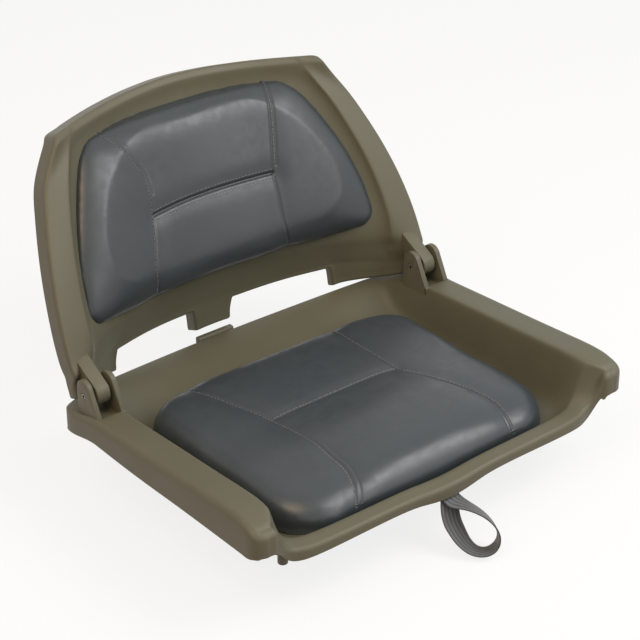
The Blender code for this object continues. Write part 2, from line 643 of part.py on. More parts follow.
def cushion_rows(low, high, half, seams, cross, inset, place, fine=True):
    """Rows of points over a cushion's outline drawn in by an inset. place(x, v, u, along, groove) gives a point,
    groove being 1 in the middle of a seam."""
    length = high - low
    cross_along = (cross - low) / length
    step = SEAM_HALF / length
    edge = (0.0, 0.02, 0.07, 0.18) if fine else (0.0, 0.06, 0.18)
    middle = (cross_along - step, cross_along, cross_along + step) if fine else (cross_along,)
    between = [mix(edge[-1], middle[0], 0.5), mix(middle[-1], 1 - edge[-1], 0.5)] if fine else []
    shares = sorted([*edge, *(1 - share for share in edge), *middle, *between])
    rows = []
    for along in shares:
        v = mix(low + inset, high - inset, along)
        reach = half(mix(low, high, along)) - inset
        seam = min(seam_at(seams, along, cross_along), reach * 0.8)
        near = min(SEAM_HALF, (reach - seam) * 0.2)
        across = [(reach, 0), (mix(seam, reach, 0.94), 0), (mix(seam, reach, 0.80), 0), (mix(seam, reach, 0.50), 0),
                  (seam + near, 0), (seam, 1), (seam - near, 0), (seam * 0.5, 0), (0.0, 0)]
        if not fine:
            across = [across[k] for k in (0, 2, 3, 5, 7, 8)]
        row = []
        for x, groove in across:
            crossing = 1.0 if along == cross_along and x < seam else 0.0
            row.append(place(x, v, x / reach, along, max(groove, crossing)))
        rows.append([(-x, y, z) for x, y, z in row[:-1]] + row[::-1])
    return [[Vector(point) for point in row] for row in rows]


def crown(across, along):
    """Fullness of a cushion's top: full over the middle, falling steeply to the outline."""
    return max((1 - abs(across) ** 3.2) * (1 - abs(2 * along - 1) ** 4.5), 0.0) ** 0.62


def seat_place(height, crown_height, groove_depth):
    def place(x, v, across, along, groove):
        full = crown(across, along)
        return (x, v, FLOOR_TOP + height + crown_height * full - groove_depth * groove * min(full * 2, 1.0))
    return place


def back_place(height, crown_height, groove_depth):
    def place(x, v, across, along, groove):
        full = crown(across, along)
        arch = BACK_CUSHION_ARCH * (abs(x) / BACK_CUSHION_HALF) ** 2.2 * (1 - along) ** 1.5
        proud = height + crown_height * full - groove_depth * groove * min(full * 2, 1.0)
        return tuple(back_point(x, v + arch, proud))
    return place


def slab(top, bottom):
    """A closed solid between two grids of points with the same layout."""
    bm = bmesh.new()
    grids = [[[bm.verts.new(point) for point in row] for row in rows] for rows in (top, bottom)]
    rows, columns = len(top), len(top[0])
    for grid in grids:
        for i in range(rows - 1):
            for j in range(columns - 1):
                bm.faces.new((grid[i][j], grid[i][j + 1], grid[i + 1][j + 1], grid[i + 1][j]))
    border = [(0, j) for j in range(columns)] + [(i, columns - 1) for i in range(1, rows)]
    border += [(rows - 1, j) for j in range(columns - 2, -1, -1)] + [(i, 0) for i in range(rows - 2, 0, -1)]
    for (i, j), (k, m) in zip(border, border[1:] + border[:1]):
        bm.faces.new((grids[0][i][j], grids[0][k][m], grids[1][k][m], grids[1][i][j]))
    return bm


def cover(name, rows, back, side_down, drawn_in, leather):
    """A thin-walled cover: its crowned top, and sides that bulge and then draw in to the lower edge."""
    bm = sheet(rows)
    bmesh.ops.recalc_face_normals(bm, faces=bm.faces)
    if sum((face.normal * face.calc_area() for face in bm.faces), Vector()).dot(back) > 0:
        bmesh.ops.reverse_faces(bm, faces=bm.faces)
    shape = ((SIDE_BULGE, 0.10), (-drawn_in * 0.5, 0.28), (-drawn_in * 0.92, 0.52), (-drawn_in, 1.0))

    def profile(point, step):
        if step == len(shape):
            return None
        aside, share = shape[step]
        return aside, side_down(point) * share

    skirt(bm, back, profile)
    made = finish(bm, name, leather, 50)
    thicken(made, COVER_THICK)
    return made


def make_cushion(name, spans, half, seams, cross, place, sizes, back, side_down, finishes):
    """A cushion as three pieces: a cover, the foam in it, and the board behind the foam."""
    side, crown_height, drawn_in, foam_gap = sizes
    leather, foam_finish, board_finish = finishes
    pieces = [cover(f"{name}_cover", cushion_rows(*spans, half, seams, cross, 0.0, place(side, crown_height, SEAM_DEPTH)),
                    back, side_down, drawn_in, leather)]
    inset = COVER_THICK + FOAM_GAP * 2 + drawn_in
    drop = COVER_THICK + FOAM_GAP * 1.2
    board_top = GAP + BOARD_THICK
    foam_place = place(side - drop, crown_height - SEAM_DEPTH, 0.0)
    foam_low = place(board_top + foam_gap, 0.0, 0.0)
    foam = slab(cushion_rows(*spans, half, seams, cross, inset, foam_place, False),
                cushion_rows(*spans, half, seams, cross, inset, foam_low, False))
    pieces.append(finish(foam, f"{name}_foam", foam_finish, 50))
    board = slab(cushion_rows(*spans, half, seams, cross, BOARD_INSET, place(board_top, 0.0, 0.0), False),
                 cushion_rows(*spans, half, seams, cross, BOARD_INSET, place(PANEL_GAP, 0.0, 0.0), False))
    pieces.append(finish(board, f"{name}_board", board_finish, 30))
    return pieces


def make_frame(shell):
    """Ribs and bosses under the pan, the bosses down to the mounting face."""
    corner = PATTERN / 2
    top = FLOOR_TOP - SHELL_WALL + BURY
    half = RIB_THICK / 2
    front, rear, side = -FRONT_REACH + RIB_START, CORNER_REACH + ARM_ROUND, HALF - ARM_WIDTH - INNER_RUN
    ribs = [((x, front), (x, rear)) for x in (-corner, corner)]
    ribs += [((-side, y), (side, y)) for y in (-corner, corner)]
    ribs += [((-corner, -corner), (corner, corner)), ((-corner, corner), (corner, -corner))]
    for number, (start, stop) in enumerate(ribs, 1):
        low = FRAME_STEP * number
        run = (Vector(stop) - Vector(start)).normalized() * half
        aside = Vector((-run.y, run.x))
        outline = [tuple(Vector(end) + aside * k) for end, k in ((start, -1), (stop, -1), (stop, 1), (start, 1))]
        boolean(shell, tool(prism(outline, low, top - low / 2, "Z"), f"rib {number}"), "UNION")
    spots = [((x, y), BOSS_RADIUS) for x in (-corner, corner) for y in (-corner, corner)] + [((0.0, 0.0), HUB_RADIUS)]
    for spot, radius in spots:
        boolean(shell, tool(prism(circle(spot, radius, 16), 0, top, "Z"), f"boss {spot}"), "UNION")
    for side in (-1, 1):
        peg = prism(circle((side * PEG_SIDE, -FRONT_REACH + PEG_BACK), PEG_RADIUS, 14), PEG_FOOT, PEG_HEIGHT, "Z")
        boolean(shell, tool(peg, f"peg {side}"), "UNION")
    ledge_y = REAR_REACH - SHELL_WALL * 0.6
    ledge = prism([(ledge_y, REAR_TOP - ARM_RIDGE - STOP_THICK), (ledge_y + STOP_REACH, REAR_TOP - STOP_THICK),
                   (ledge_y + STOP_REACH, REAR_TOP + STOP_RISE), (ledge_y + BURY, REAR_TOP + STOP_RISE),
                   (ledge_y + BURY / 2, REAR_TOP - ARM_RIDGE)],
                  -STOP_WIDTH / 2, STOP_WIDTH / 2)
    boolean(shell, tool(ledge, "stop ledge"), "UNION")


def make_inserts(shell, brass):
    corner = PATTERN / 2
    for number, (x, y) in enumerate([(a, b) for a in (-corner, corner) for b in (-corner, corner)], 1):
        place = Matrix.Translation((x, y, 0))
        pocket = turned([(0, -OVERRUN), (INSERT_RADIUS + GAP, -OVERRUN), (INSERT_RADIUS + GAP, INSERT_LENGTH + GAP),
                         (0, INSERT_LENGTH + GAP)], place, 16)
        boolean(shell, tool(pocket, f"pocket {number}"), "DIFFERENCE")
        ring = turned([(INSERT_BORE, 0), (INSERT_RADIUS, 0), (INSERT_RADIUS, INSERT_LENGTH), (INSERT_BORE, INSERT_LENGTH)],
                      place, 16)
        finish(ring, f"mount_insert_{number}", brass)


def make_screws(name, shell, board, places, steel):
    """Screws through a shell into the board of its cushion, each standing on a matrix whose +Z points into the
    board from the shell's far face."""
    tip = SHELL_WALL + BOARD_THICK * 0.8
    for number, place in enumerate(places, 1):
        clear = SCREW_RADIUS + GAP
        bore = turned([(0, -OVERRUN), (clear, -OVERRUN), (clear, tip + GAP), (0, tip + GAP)], place, 10)
        helper = tool(bore, f"{name} bore {number}")
        boolean(shell, helper, "DIFFERENCE")
        boolean(board, helper, "DIFFERENCE")
        low = -GAP - SCREW_HEAD_THICK
        screw = turned([(0, low), (SCREW_HEAD * 0.7, low), (SCREW_HEAD, low * 0.55), (SCREW_HEAD, -GAP),
                        (SCREW_RADIUS, -GAP), (SCREW_RADIUS, tip - GAP), (0, tip - GAP)], place, 10)
        finish(screw, f"{name}_screw_{number}", steel)


def make_pins(steel):
    """Slotted spring pins through the ears and knuckles."""
    half_slot = PIN_SLOT_DEGREES / 2
    outline = arc((PIN_REACH, PIN_HEIGHT), PIN_RADIUS, 270 + half_slot, 630 - half_slot, 16)
    outline += arc((PIN_REACH, PIN_HEIGHT), PIN_BORE, 630 - half_slot, 270 + half_slot, 16)
    for label, side in (("left", -1), ("right", 1)):
        pin = prism(outline, side * EAR_INNER, side * EAR_OUTER)
        finish(pin, f"hinge_pin_{label}", steel)


def ribbon(stations, width, thickness):
    """A band through (point, width direction, thickness direction) stations."""
    bm = bmesh.new()
    rings = []
    for point, wide, thin in stations:
        corners = [(-1, -1), (1, -1), (1, 1), (-1, 1)]
        rings.append([bm.verts.new(point + wide * (width / 2 * a) + thin * (thickness / 2 * b)) for a, b in corners])
    for a, b in zip(rings, rings[1:]):
        for i in range(4):
            j = (i + 1) % 4
            bm.faces.new((a[i], a[j], b[j], b[i]))
    bm.faces.new(rings[0])
    bm.faces.new(rings[-1][::-1])
    return bm


def rounded(points, passes):
    """Cuts the corners of a path of tuples, keeping its ends."""
    for _ in range(passes):
        cut = [points[0]]
        for a, b in zip(points, points[1:]):
            cut += [tuple(mix(p, q, share) for p, q in zip(a, b)) for share in (0.25, 0.75)]
        points = [*cut, points[-1]]
    return points


def make_strap(shell, webbing, steel):
    """The hold-down loop, its two clamped ends, and their screw and washer under the front rail."""
    fixing = Vector((STRAP_SIDE, -RAIL_REACH + STRAP_BACK, FLOOR_TOP - SHELL_WALL - FRAME_STEP))
    front = fixing.y - STRAP_TAB / 2
    layers = 2 * STRAP_THICK + GAP
    ends_top = fixing.z - GAP
    pad = [(front, fixing.z), (front + STRAP_TAB + PAD_MARGIN, fixing.z),
           (front + STRAP_TAB + PAD_MARGIN, fixing.z + BURY), (front, RAIL_TOP - BURY)]
    width = STRAP_WIDTH / 2 + PAD_MARGIN
    boolean(shell, tool(prism(pad, fixing.x - width, fixing.x + width), "strap pad"), "UNION")
    ends = prism([(front, ends_top - layers), (front + STRAP_TAB, ends_top - layers), (front + STRAP_TAB, ends_top),
                  (front, ends_top)], fixing.x - STRAP_WIDTH / 2, fixing.x + STRAP_WIDTH / 2)
    ends = finish(ends, "strap_ends", webbing)
    clear = SCREW_RADIUS + GAP
    place = Matrix.Translation(fixing)
    depth = ends_top - layers - fixing.z - 2 * GAP - WASHER_THICK
    bore = tool(turned([(0, depth - OVERRUN), (clear, depth - OVERRUN), (clear, BURY), (0, BURY)], place, 12), "strap bore")
    boolean(ends, bore, "DIFFERENCE")
    boolean(shell, bore, "DIFFERENCE")
    washer_top = depth + GAP + WASHER_THICK
    washer = turned([(clear, washer_top - WASHER_THICK), (WASHER_RADIUS, washer_top - WASHER_THICK),
                     (WASHER_RADIUS, washer_top), (clear, washer_top)], place)
    finish(washer, "strap_washer", steel)
    screw = turned([(0, depth - SCREW_HEAD_THICK), (SCREW_HEAD * 0.7, depth - SCREW_HEAD_THICK),
                    (SCREW_HEAD, depth - SCREW_HEAD_THICK / 2), (SCREW_HEAD, depth), (SCREW_RADIUS, depth),
                    (SCREW_RADIUS, BURY - GAP), (0, BURY - GAP)], place, 12)
    finish(screw, "strap_screw", steel)

    base = Vector((fixing.x, front, ends_top - layers / 2))
    lead = Vector((0, -STRAP_LEAD, 0))
    lower = base - Vector((0, STRAP_GAP, STRAP_THICK / 2 + GAP / 2))
    upper = base - Vector((0, STRAP_GAP, -STRAP_THICK / 2 - GAP / 2))
    across = (1.0, 0.0, 0.0)
    curve = [(*lower, *across), (*(lower + lead), *across)]
    for sideways, forward, up, turn, dip in LOOP_PATH:
        turn, dip = math.radians(turn), math.radians(dip)
        wide = (math.cos(turn) * math.cos(dip), math.sin(turn) * math.cos(dip), math.sin(dip))
        curve.append((*(base + Vector((sideways, -forward, up))), *wide))
    curve += [(*(upper + lead), *across), (*upper, *across)]
    stations = []
    curve = rounded(curve, 2)
    for k, values in enumerate(curve):
        here = Vector(values[:3])
        run = (Vector(curve[min(k + 1, len(curve) - 1)][:3]) - Vector(curve[max(k - 1, 0)][:3])).normalized()
        wide = Vector(values[3:])
        wide = (wide - run * wide.dot(run)).normalized()
        stations.append((here, wide, run.cross(wide)))
    loop = finish(ribbon(stations, STRAP_WIDTH, STRAP_THICK), "strap_loop", webbing, 60)
    rest_on([loop], base)


def rest_on(pieces, pivot):
    """Puts the pieces' origins on their joint's axis, leaving the pieces where they are."""
    for piece in pieces:
        piece.data.transform(Matrix.Translation(-pivot))
        piece.location = pivot


def build():
    for existing in list(bpy.data.objects):
        bpy.data.objects.remove(existing)
    material("helper", (0.5, 0.5, 0.5), 0.5)
    plastic = material("moulded olive plastic", (0.138, 0.130, 0.092), 0.42)
    leather = material("grey vinyl", (0.098, 0.118, 0.130), 0.38)
    foam = material("foam", (0.70, 0.64, 0.45), 0.95)
    board = material("board", (0.30, 0.19, 0.10), 0.80)
    steel = material("stainless steel", (0.55, 0.55, 0.53), 0.28, 1.0)
    brass = material("brass", (0.60, 0.44, 0.18), 0.35, 1.0)
    webbing = material("grey webbing", (0.150, 0.155, 0.158), 0.75)

    seat = make_seat_shell(plastic)
    back = make_back_shell(plastic)
    make_frame(seat)

    _, _, seat_board = make_cushion(
        "seat_cushion", (-SEAT_CUSHION_FRONT, SEAT_CUSHION_REAR), seat_half, SEAT_SEAMS, SEAT_CROSS, seat_place,
        (SEAT_CUSHION_SIDE, SEAT_CUSHION_CROWN, SEAT_DRAWN_IN, GAP), Vector((0, 0, -1)),
        lambda point: point.z - FLOOR_TOP - SEAT_COVER_LIFT, (leather, foam, board))

    def to_back(point):
        depth = back_depth(point.x, point.z - BACK_LINE_HEIGHT) + BACK_LINE_REACH
        return (depth - point.y) * math.cos(LEAN) - BACK_COVER_LIFT

    _, _, back_board = make_cushion(
        "back_cushion", (BACK_CUSHION_LOW, BACK_CUSHION_HIGH), back_half, BACK_SEAMS, BACK_CROSS, back_place,
        (BACK_CUSHION_SIDE, BACK_CUSHION_CROWN, BACK_DRAWN_IN, PANEL_GAP * 2), Vector((0, math.cos(LEAN), -math.sin(LEAN))),
        to_back, (leather, foam, board))

    seat_places = [Matrix.Translation((x, y, FLOOR_TOP - SHELL_WALL))
                   for x in (-SEAT_SCREW_SIDE, SEAT_SCREW_SIDE) for y in (SEAT_SCREW_FRONT, SEAT_SCREW_REAR)]
    make_screws("seat_cushion", seat, seat_board, seat_places, steel)
    back_places = []
    for x in (-BACK_SCREW_SIDE, BACK_SCREW_SIDE):
        for rise in (BACK_SCREW_LOW, BACK_SCREW_HIGH):
            face = back_point(x, rise)
            inward = (back_point(x, rise, SHELL_WALL) - face).normalized()
            back_places.append(Matrix.Translation(face - inward * SHELL_WALL) @ inward.to_track_quat("Z", "Y").to_matrix().to_4x4())
    make_screws("back_cushion", back, back_board, back_places, steel)
    make_inserts(seat, brass)
    make_pins(steel)
    make_strap(seat, webbing, steel)

    bore_turn = Matrix.Rotation(math.radians(90), 4, "Y")
    for side in (-1, 1):
        middle = side * mix(EAR_INNER, EAR_OUTER, 0.5)
        reach = (EAR_OUTER - EAR_INNER) / 2 + OVERRUN
        place = Matrix.Translation((middle, PIN_REACH, PIN_HEIGHT)) @ bore_turn
        radius = PIN_RADIUS + GAP
        bore = tool(turned([(0, -reach), (radius, -reach), (radius, reach), (0, reach)], place), f"bore {side}")
        boolean(seat, bore, "DIFFERENCE")
        boolean(back, bore, "DIFFERENCE")
    back_pieces = [piece for piece in bpy.data.objects if piece.name.startswith("back_")]
    rest_on(back_pieces, Vector((0, PIN_REACH, PIN_HEIGHT)))


build()
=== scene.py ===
# %% [markdown]
# # A folding boat seat
# A moulded pan carries a padded seat, and a padded back folds forward over it on two pinned hinges. A
# webbing loop under the front rail holds the folded seat shut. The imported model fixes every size, hole and
# joint. This file gives the parts their finish, and models the shells, cushions and webbing as smooth forms
# on that frame.

# %% Load the frame
import math

import bmesh
import bpy
import numpy as np
from mathutils import Matrix, Vector
from mathutils.bvhtree import BVHTree
from mathutils.kdtree import KDTree


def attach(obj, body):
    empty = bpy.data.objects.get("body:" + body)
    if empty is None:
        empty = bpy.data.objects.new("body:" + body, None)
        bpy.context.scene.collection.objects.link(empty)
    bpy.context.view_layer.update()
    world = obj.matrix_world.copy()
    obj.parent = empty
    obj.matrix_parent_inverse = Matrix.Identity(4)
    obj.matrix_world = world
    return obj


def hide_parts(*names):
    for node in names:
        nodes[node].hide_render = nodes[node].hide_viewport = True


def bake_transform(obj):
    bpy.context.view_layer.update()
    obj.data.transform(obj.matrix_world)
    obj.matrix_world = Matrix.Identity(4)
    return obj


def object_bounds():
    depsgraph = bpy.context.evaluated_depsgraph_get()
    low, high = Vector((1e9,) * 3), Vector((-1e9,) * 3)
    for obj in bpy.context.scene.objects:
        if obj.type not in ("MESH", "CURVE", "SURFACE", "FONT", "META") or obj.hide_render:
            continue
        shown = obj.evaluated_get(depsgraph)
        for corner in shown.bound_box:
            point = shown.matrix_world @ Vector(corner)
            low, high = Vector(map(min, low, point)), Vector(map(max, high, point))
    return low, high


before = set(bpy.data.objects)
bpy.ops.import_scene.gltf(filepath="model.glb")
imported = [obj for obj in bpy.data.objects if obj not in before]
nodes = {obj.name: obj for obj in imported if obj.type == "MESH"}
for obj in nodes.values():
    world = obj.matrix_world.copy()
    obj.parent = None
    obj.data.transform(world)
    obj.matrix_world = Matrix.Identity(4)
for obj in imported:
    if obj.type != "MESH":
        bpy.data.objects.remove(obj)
cad_bounds = [list(corner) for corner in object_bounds()]
scene = bpy.context.scene
scene.view_settings.view_transform = "Standard"
MM = 0.001
print("CAD box, m:", cad_bounds)

# %% [markdown]
# ## Camera
# The photograph was taken from the front left and from above, with a long lens, which shows in how little
# the far arm shrinks. The camera's place comes from pairs of points that mirror each other on the real
# seat, such as the two hinge holes and the back's two upper corners: only one place shows all of them where
# the photograph has them.

# %% Camera
FRAME_PIXELS = 640
FOCAL_PIXELS = 1960
CAMERA_PLACE = (-1.1653, -1.4287, 1.1920)
CAMERA_AXES = ((0.77769, -0.62864, 0), (0.31295, 0.38714, 0.86729), (-0.54522, -0.67448, 0.49781))

lens = bpy.data.cameras.new("camera")
lens.sensor_width = 36
lens.lens = lens.sensor_width * FOCAL_PIXELS / FRAME_PIXELS
camera = bpy.data.objects.new("camera", lens)
camera.matrix_world = Matrix.Translation(CAMERA_PLACE) @ Matrix(CAMERA_AXES).transposed().to_4x4()
scene.collection.objects.link(camera)
scene.camera = camera
print("lens, mm:", round(lens.lens, 1))

# %% [markdown]
# ## A few helpers
# Node trees read best when each line adds one node with its settings and links. Colours are written as the
# hex values one reads off a screen, and turned to the linear values that light adds up in.


# %% Helpers for nodes and colours
def linear(code, strength=1.0):
    """An sRGB hex colour as linear RGBA."""
    shares = [int(code[k:k + 2], 16) / 255 for k in (1, 3, 5)]
    curve = [share / 12.92 if share <= 0.04045 else ((share + 0.055) / 1.055) ** 2.4 for share in shares]
    return (*[share * strength for share in curve], 1.0)


def add(tree, kind, inputs=None, **settings):
    """Adds a node. An input takes a value, or another node's output as a link."""
    node = tree.nodes.new(kind)
    for name, value in settings.items():
        setattr(node, name, value)
    for key, value in (inputs or {}).items():
        if isinstance(value, bpy.types.NodeSocket):
            tree.links.new(value, node.inputs[key])
        else:
            node.inputs[key].default_value = value
    return node


def finish_called(name, **sockets):
    """A new material, its node tree and its shader, with the shader's plain sockets set."""
    made = bpy.data.materials.new(name)
    made.use_nodes = True
    shader = made.node_tree.nodes["Principled BSDF"]
    for key, value in sockets.items():
        shader.inputs[key.replace("_", " ")].default_value = value
    return made, made.node_tree, shader


# %% [markdown]
# ## Moulded plastic
# The shells are injection-moulded polypropylene in an olive grey. The mould is spark-eroded, which leaves
# an even satin grain: highlights are broad and soft. Convex edges are painted lighter, a painted highlight
# along the bevels. Real grain is about 0.3 mm and can't show at this distance, so it is drawn at 0.8 mm.

# %% Moulded plastic
plastic, tree, shader = finish_called("moulded polypropylene", IOR=1.49, Roughness=0.46,
                                      Specular_IOR_Level=0.36)
place = add(tree, "ShaderNodeTexCoord").outputs["Object"]
mottle = add(tree, "ShaderNodeTexNoise", {"Vector": place, "Scale": 1 / (45 * MM), "Detail": 3.0})
grain = add(tree, "ShaderNodeTexNoise", {"Vector": place, "Scale": 1 / (0.8 * MM), "Detail": 2.0,
                                         "Roughness": 0.6})
tint = add(tree, "ShaderNodeMix", {0: mottle.outputs[0], 6: linear("#5b5847"), 7: linear("#62604f")},
           data_type="RGBA")
# Painted highlight: convex edges, picked out by pointiness, are painted in a lighter olive.
edge = add(tree, "ShaderNodeNewGeometry").outputs["Pointiness"]
edge_highlight = add(tree, "ShaderNodeMapRange", {0: edge, 1: 0.52, 2: 0.60, 3: 0.0, 4: 0.35})
tint = add(tree, "ShaderNodeMix", {0: edge_highlight.outputs[0], 6: tint.outputs[2], 7: linear("#7b7a6b")},
           data_type="RGBA")
tree.links.new(tint.outputs[2], shader.inputs["Base Color"])
satin = add(tree, "ShaderNodeMapRange", {0: mottle.outputs[0], 1: 0.3, 2: 0.7, 3: 0.43, 4: 0.50})
tree.links.new(satin.outputs[0], shader.inputs["Roughness"])
bump = add(tree, "ShaderNodeBump", {"Height": grain.outputs[0], "Strength": 0.10, "Distance": 0.4 * MM})
tree.links.new(bump.outputs[0], shader.inputs["Normal"])

# %% [markdown]
# ## Upholstery vinyl
# The covers are PVC-coated cloth, embossed with a fine leather grain and finished with a thin gloss coat.
# The eye gets long smooth highlights that break up a little in the grain. The grain's cells are about 1 mm,
# drawn at 1.6 mm, and wider soft wrinkles come from a stretched noise.

# %% Upholstery vinyl
vinyl, tree, shader = finish_called("embossed upholstery vinyl", IOR=1.52, Roughness=0.36,
                                    Specular_IOR_Level=0.5)
place = add(tree, "ShaderNodeTexCoord").outputs["Object"]
cloudy = add(tree, "ShaderNodeTexNoise", {"Vector": place, "Scale": 1 / (30 * MM), "Detail": 4.0})
cells = add(tree, "ShaderNodeTexVoronoi", {"Vector": place, "Scale": 1 / (1.6 * MM), "Randomness": 1.0})
wrinkle = add(tree, "ShaderNodeTexNoise", {"Vector": place, "Scale": 1 / (9 * MM), "Detail": 5.0,
                                           "Distortion": 0.6})
tint = add(tree, "ShaderNodeMix", {0: cloudy.outputs[0], 6: linear("#33393d"), 7: linear("#3b4145")},
           data_type="RGBA")
tree.links.new(tint.outputs[2], shader.inputs["Base Color"])
sheen = add(tree, "ShaderNodeMapRange", {0: wrinkle.outputs[0], 1: 0.35, 2: 0.65, 3: 0.31, 4: 0.42})
tree.links.new(sheen.outputs[0], shader.inputs["Roughness"])
low = add(tree, "ShaderNodeBump", {"Height": wrinkle.outputs[0], "Strength": 0.10, "Distance": 1.0 * MM})
fine = add(tree, "ShaderNodeBump", {"Height": cells.outputs[0], "Strength": 0.10, "Distance": 0.3 * MM,
                                    "Normal": low.outputs[0]}, invert=True)
tree.links.new(fine.outputs[0], shader.inputs["Normal"])

# %% [markdown]
# ## Webbing, thread and metals
# The hold-down loop is woven polypropylene webbing: lengthwise ridges a few millimetres apart, crossed by a
# fine weft. Both follow the band's own UV map, in metres, so they bend with it. The thread is bonded
# polyester, the pins and screws are stainless steel, and the inserts are turned brass.

# %% Webbing
webbing, tree, shader = finish_called("woven polypropylene webbing", Roughness=0.62, Sheen_Weight=0.25,
                                      IOR=1.49)
map_uv = add(tree, "ShaderNodeUVMap", uv_map="band")
across = add(tree, "ShaderNodeSeparateXYZ", {0: map_uv.outputs[0]})
RIDGE_SPACING, WEFT_SPACING = 5.0 * MM, 1.3 * MM
ridge_phase = add(tree, "ShaderNodeMath", {0: across.outputs[0], 1: 2 * math.pi / RIDGE_SPACING},
                  operation="MULTIPLY")
ridge = add(tree, "ShaderNodeMath", {0: ridge_phase.outputs[0]}, operation="COSINE")
weft_phase = add(tree, "ShaderNodeMath", {0: across.outputs[1], 1: 2 * math.pi / WEFT_SPACING},
                 operation="MULTIPLY")
weft = add(tree, "ShaderNodeMath", {0: weft_phase.outputs[0]}, operation="COSINE")
weave = add(tree, "ShaderNodeMath", {0: weft.outputs[0], 1: 0.18, 2: ridge.outputs[0]},
            operation="MULTIPLY_ADD")
raised = add(tree, "ShaderNodeMapRange", {0: weave.outputs[0], 1: -1.0, 2: 1.0})
# Painted shade and highlight: the weave's hollows are painted darker and its raised yarns lighter.
tint = add(tree, "ShaderNodeMix", {0: raised.outputs[0], 6: linear("#3c3e41"), 7: linear("#5f6366")},
           data_type="RGBA")
tree.links.new(tint.outputs[2], shader.inputs["Base Color"])
bump = add(tree, "ShaderNodeBump", {"Height": raised.outputs[0], "Strength": 0.5, "Distance": 0.4 * MM})
tree.links.new(bump.outputs[0], shader.inputs["Normal"])

# %% Thread, steel, brass and board
thread, tree, shader = finish_called("bonded polyester thread", Roughness=0.5)
place = add(tree, "ShaderNodeTexCoord").outputs["Object"]
strands = add(tree, "ShaderNodeTexNoise", {"Vector": place, "Scale": 1 / (2 * MM)})
tint = add(tree, "ShaderNodeMix", {0: strands.outputs[0], 6: linear("#6d7377"), 7: linear("#8d9498")},
           data_type="RGBA")
tree.links.new(tint.outputs[2], shader.inputs["Base Color"])

metals = {}
for name, dark, light, rough in (("stainless steel", "#8d8a84", "#b5b2ab", 0.30),
                                 ("turned brass", "#9a7b3c", "#c29c54", 0.34)):
    metals[name], tree, shader = finish_called(name, Metallic=1.0, Roughness=rough)
    place = add(tree, "ShaderNodeTexCoord").outputs["Object"]
    streaks = add(tree, "ShaderNodeTexNoise", {"Vector": place, "Scale": 1 / (1.5 * MM), "Detail": 3.0})
    tint = add(tree, "ShaderNodeMix", {0: streaks.outputs[0], 6: linear(dark), 7: linear(light)},
               data_type="RGBA")
    tree.links.new(tint.outputs[2], shader.inputs["Base Color"])
    bump = add(tree, "ShaderNodeBump", {"Height": streaks.outputs[0], "Strength": 0.08, "Distance": 0.2 * MM})
    tree.links.new(bump.outputs[0], shader.inputs["Normal"])

board, tree, shader = finish_called("birch plywood", Roughness=0.7)
place = add(tree, "ShaderNodeTexCoord").outputs["Object"]
stretch = add(tree, "ShaderNodeMapping", {"Vector": place, "Scale": (1.0, 14.0, 14.0)})
figure = add(tree, "ShaderNodeTexNoise", {"Vector": stretch.outputs[0], "Scale": 1 / (60 * MM),
                                          "Detail": 5.0})
tint = add(tree, "ShaderNodeMix", {0: figure.outputs[0], 6: linear("#8f6c45"), 7: linear("#b8946a")},
           data_type="RGBA")
tree.links.new(tint.outputs[2], shader.inputs["Base Color"])

for name, node in nodes.items():
    if "screw" in name or "pin" in name or "washer" in name:
        chosen = metals["stainless steel"]
    elif "insert" in name:
        chosen = metals["turned brass"]
    elif "board" in name:
        chosen = board
    else:
        chosen = plastic if "shell" in name else vinyl
    node.data.materials.clear()
    node.data.materials.append(chosen)
print("finishes:", len(bpy.data.materials))

# %% [markdown]
# ## How the shells are made
# Each shell is one moulded skin. Its face is a grid of points, row by row, whose open edge grows a rounded
# wall. A Subdivision Surface smooths the grid as the mould maker's polish does, and Solidify gives the 3 mm
# wall, because that is how such a moulding is: the same thickness all over.


# %% Mesh helpers
def mix(a, b, t):
    return a + (b - a) * t


def smooth(t):
    t = min(max(t, 0.0), 1.0)
    return t * t * (3 - 2 * t)


def arc(centre, radius, start, stop, steps):
    """Points of an arc, angles in degrees."""
    angles = [math.radians(mix(start, stop, k / steps)) for k in range(steps + 1)]
    return [(centre[0] + radius * math.cos(a), centre[1] + radius * math.sin(a)) for a in angles]


def to_object(bm, name, finish=None):
    mesh = bpy.data.meshes.new(name)
    bm.to_mesh(mesh)
    bm.free()
    mesh.shade_smooth()
    if finish:
        mesh.materials.append(finish)
    made = bpy.data.objects.new(name, mesh)
    scene.collection.objects.link(made)
    return made


def applied(obj):
    """Turns an object's modifiers into plain mesh."""
    graph = bpy.context.evaluated_depsgraph_get()
    mesh = bpy.data.meshes.new_from_object(obj.evaluated_get(graph))
    obj.modifiers.clear()
    obj.data = mesh
    return obj


def subdivided(obj, levels):
    smoother = obj.modifiers.new("smooth", "SUBSURF")
    smoother.levels = smoother.render_levels = levels


def coordinates(mesh):
    flat = np.empty(len(mesh.vertices) * 3, np.float32)
    mesh.vertices.foreach_get("co", flat)
    return flat.reshape(-1, 3).astype(float)


EASE_SHARE, EASE_MOST = 0.8, 1.5 * MM


def eased_out(obj):
    """Subdivision pulls a surface inside its grid. This moves the grid out by most of what was lost."""
    grid = coordinates(obj.data)
    graph = bpy.context.evaluated_depsgraph_get()
    smoothed = coordinates(obj.evaluated_get(graph).data)[:len(grid)]
    move = (grid - smoothed) * EASE_SHARE
    length = np.linalg.norm(move, axis=1, keepdims=True)
    move *= np.minimum(length, EASE_MOST) / np.maximum(length, 1e-9)
    obj.data.vertices.foreach_set("co", (grid + move).astype(np.float32).ravel())
    obj.data.update()


def grid_sheet(rows):
    """Quads over rows of points. A cell with a missing corner is left out."""
    bm = bmesh.new()
    verts = [[point and bm.verts.new(point) for point in row] for row in rows]
    for low_row, high_row in zip(verts, verts[1:]):
        for i in range(len(low_row) - 1):
            corners = (low_row[i], low_row[i + 1], high_row[i + 1], high_row[i])
            if None not in corners:
                bm.faces.new(corners)
    return bm


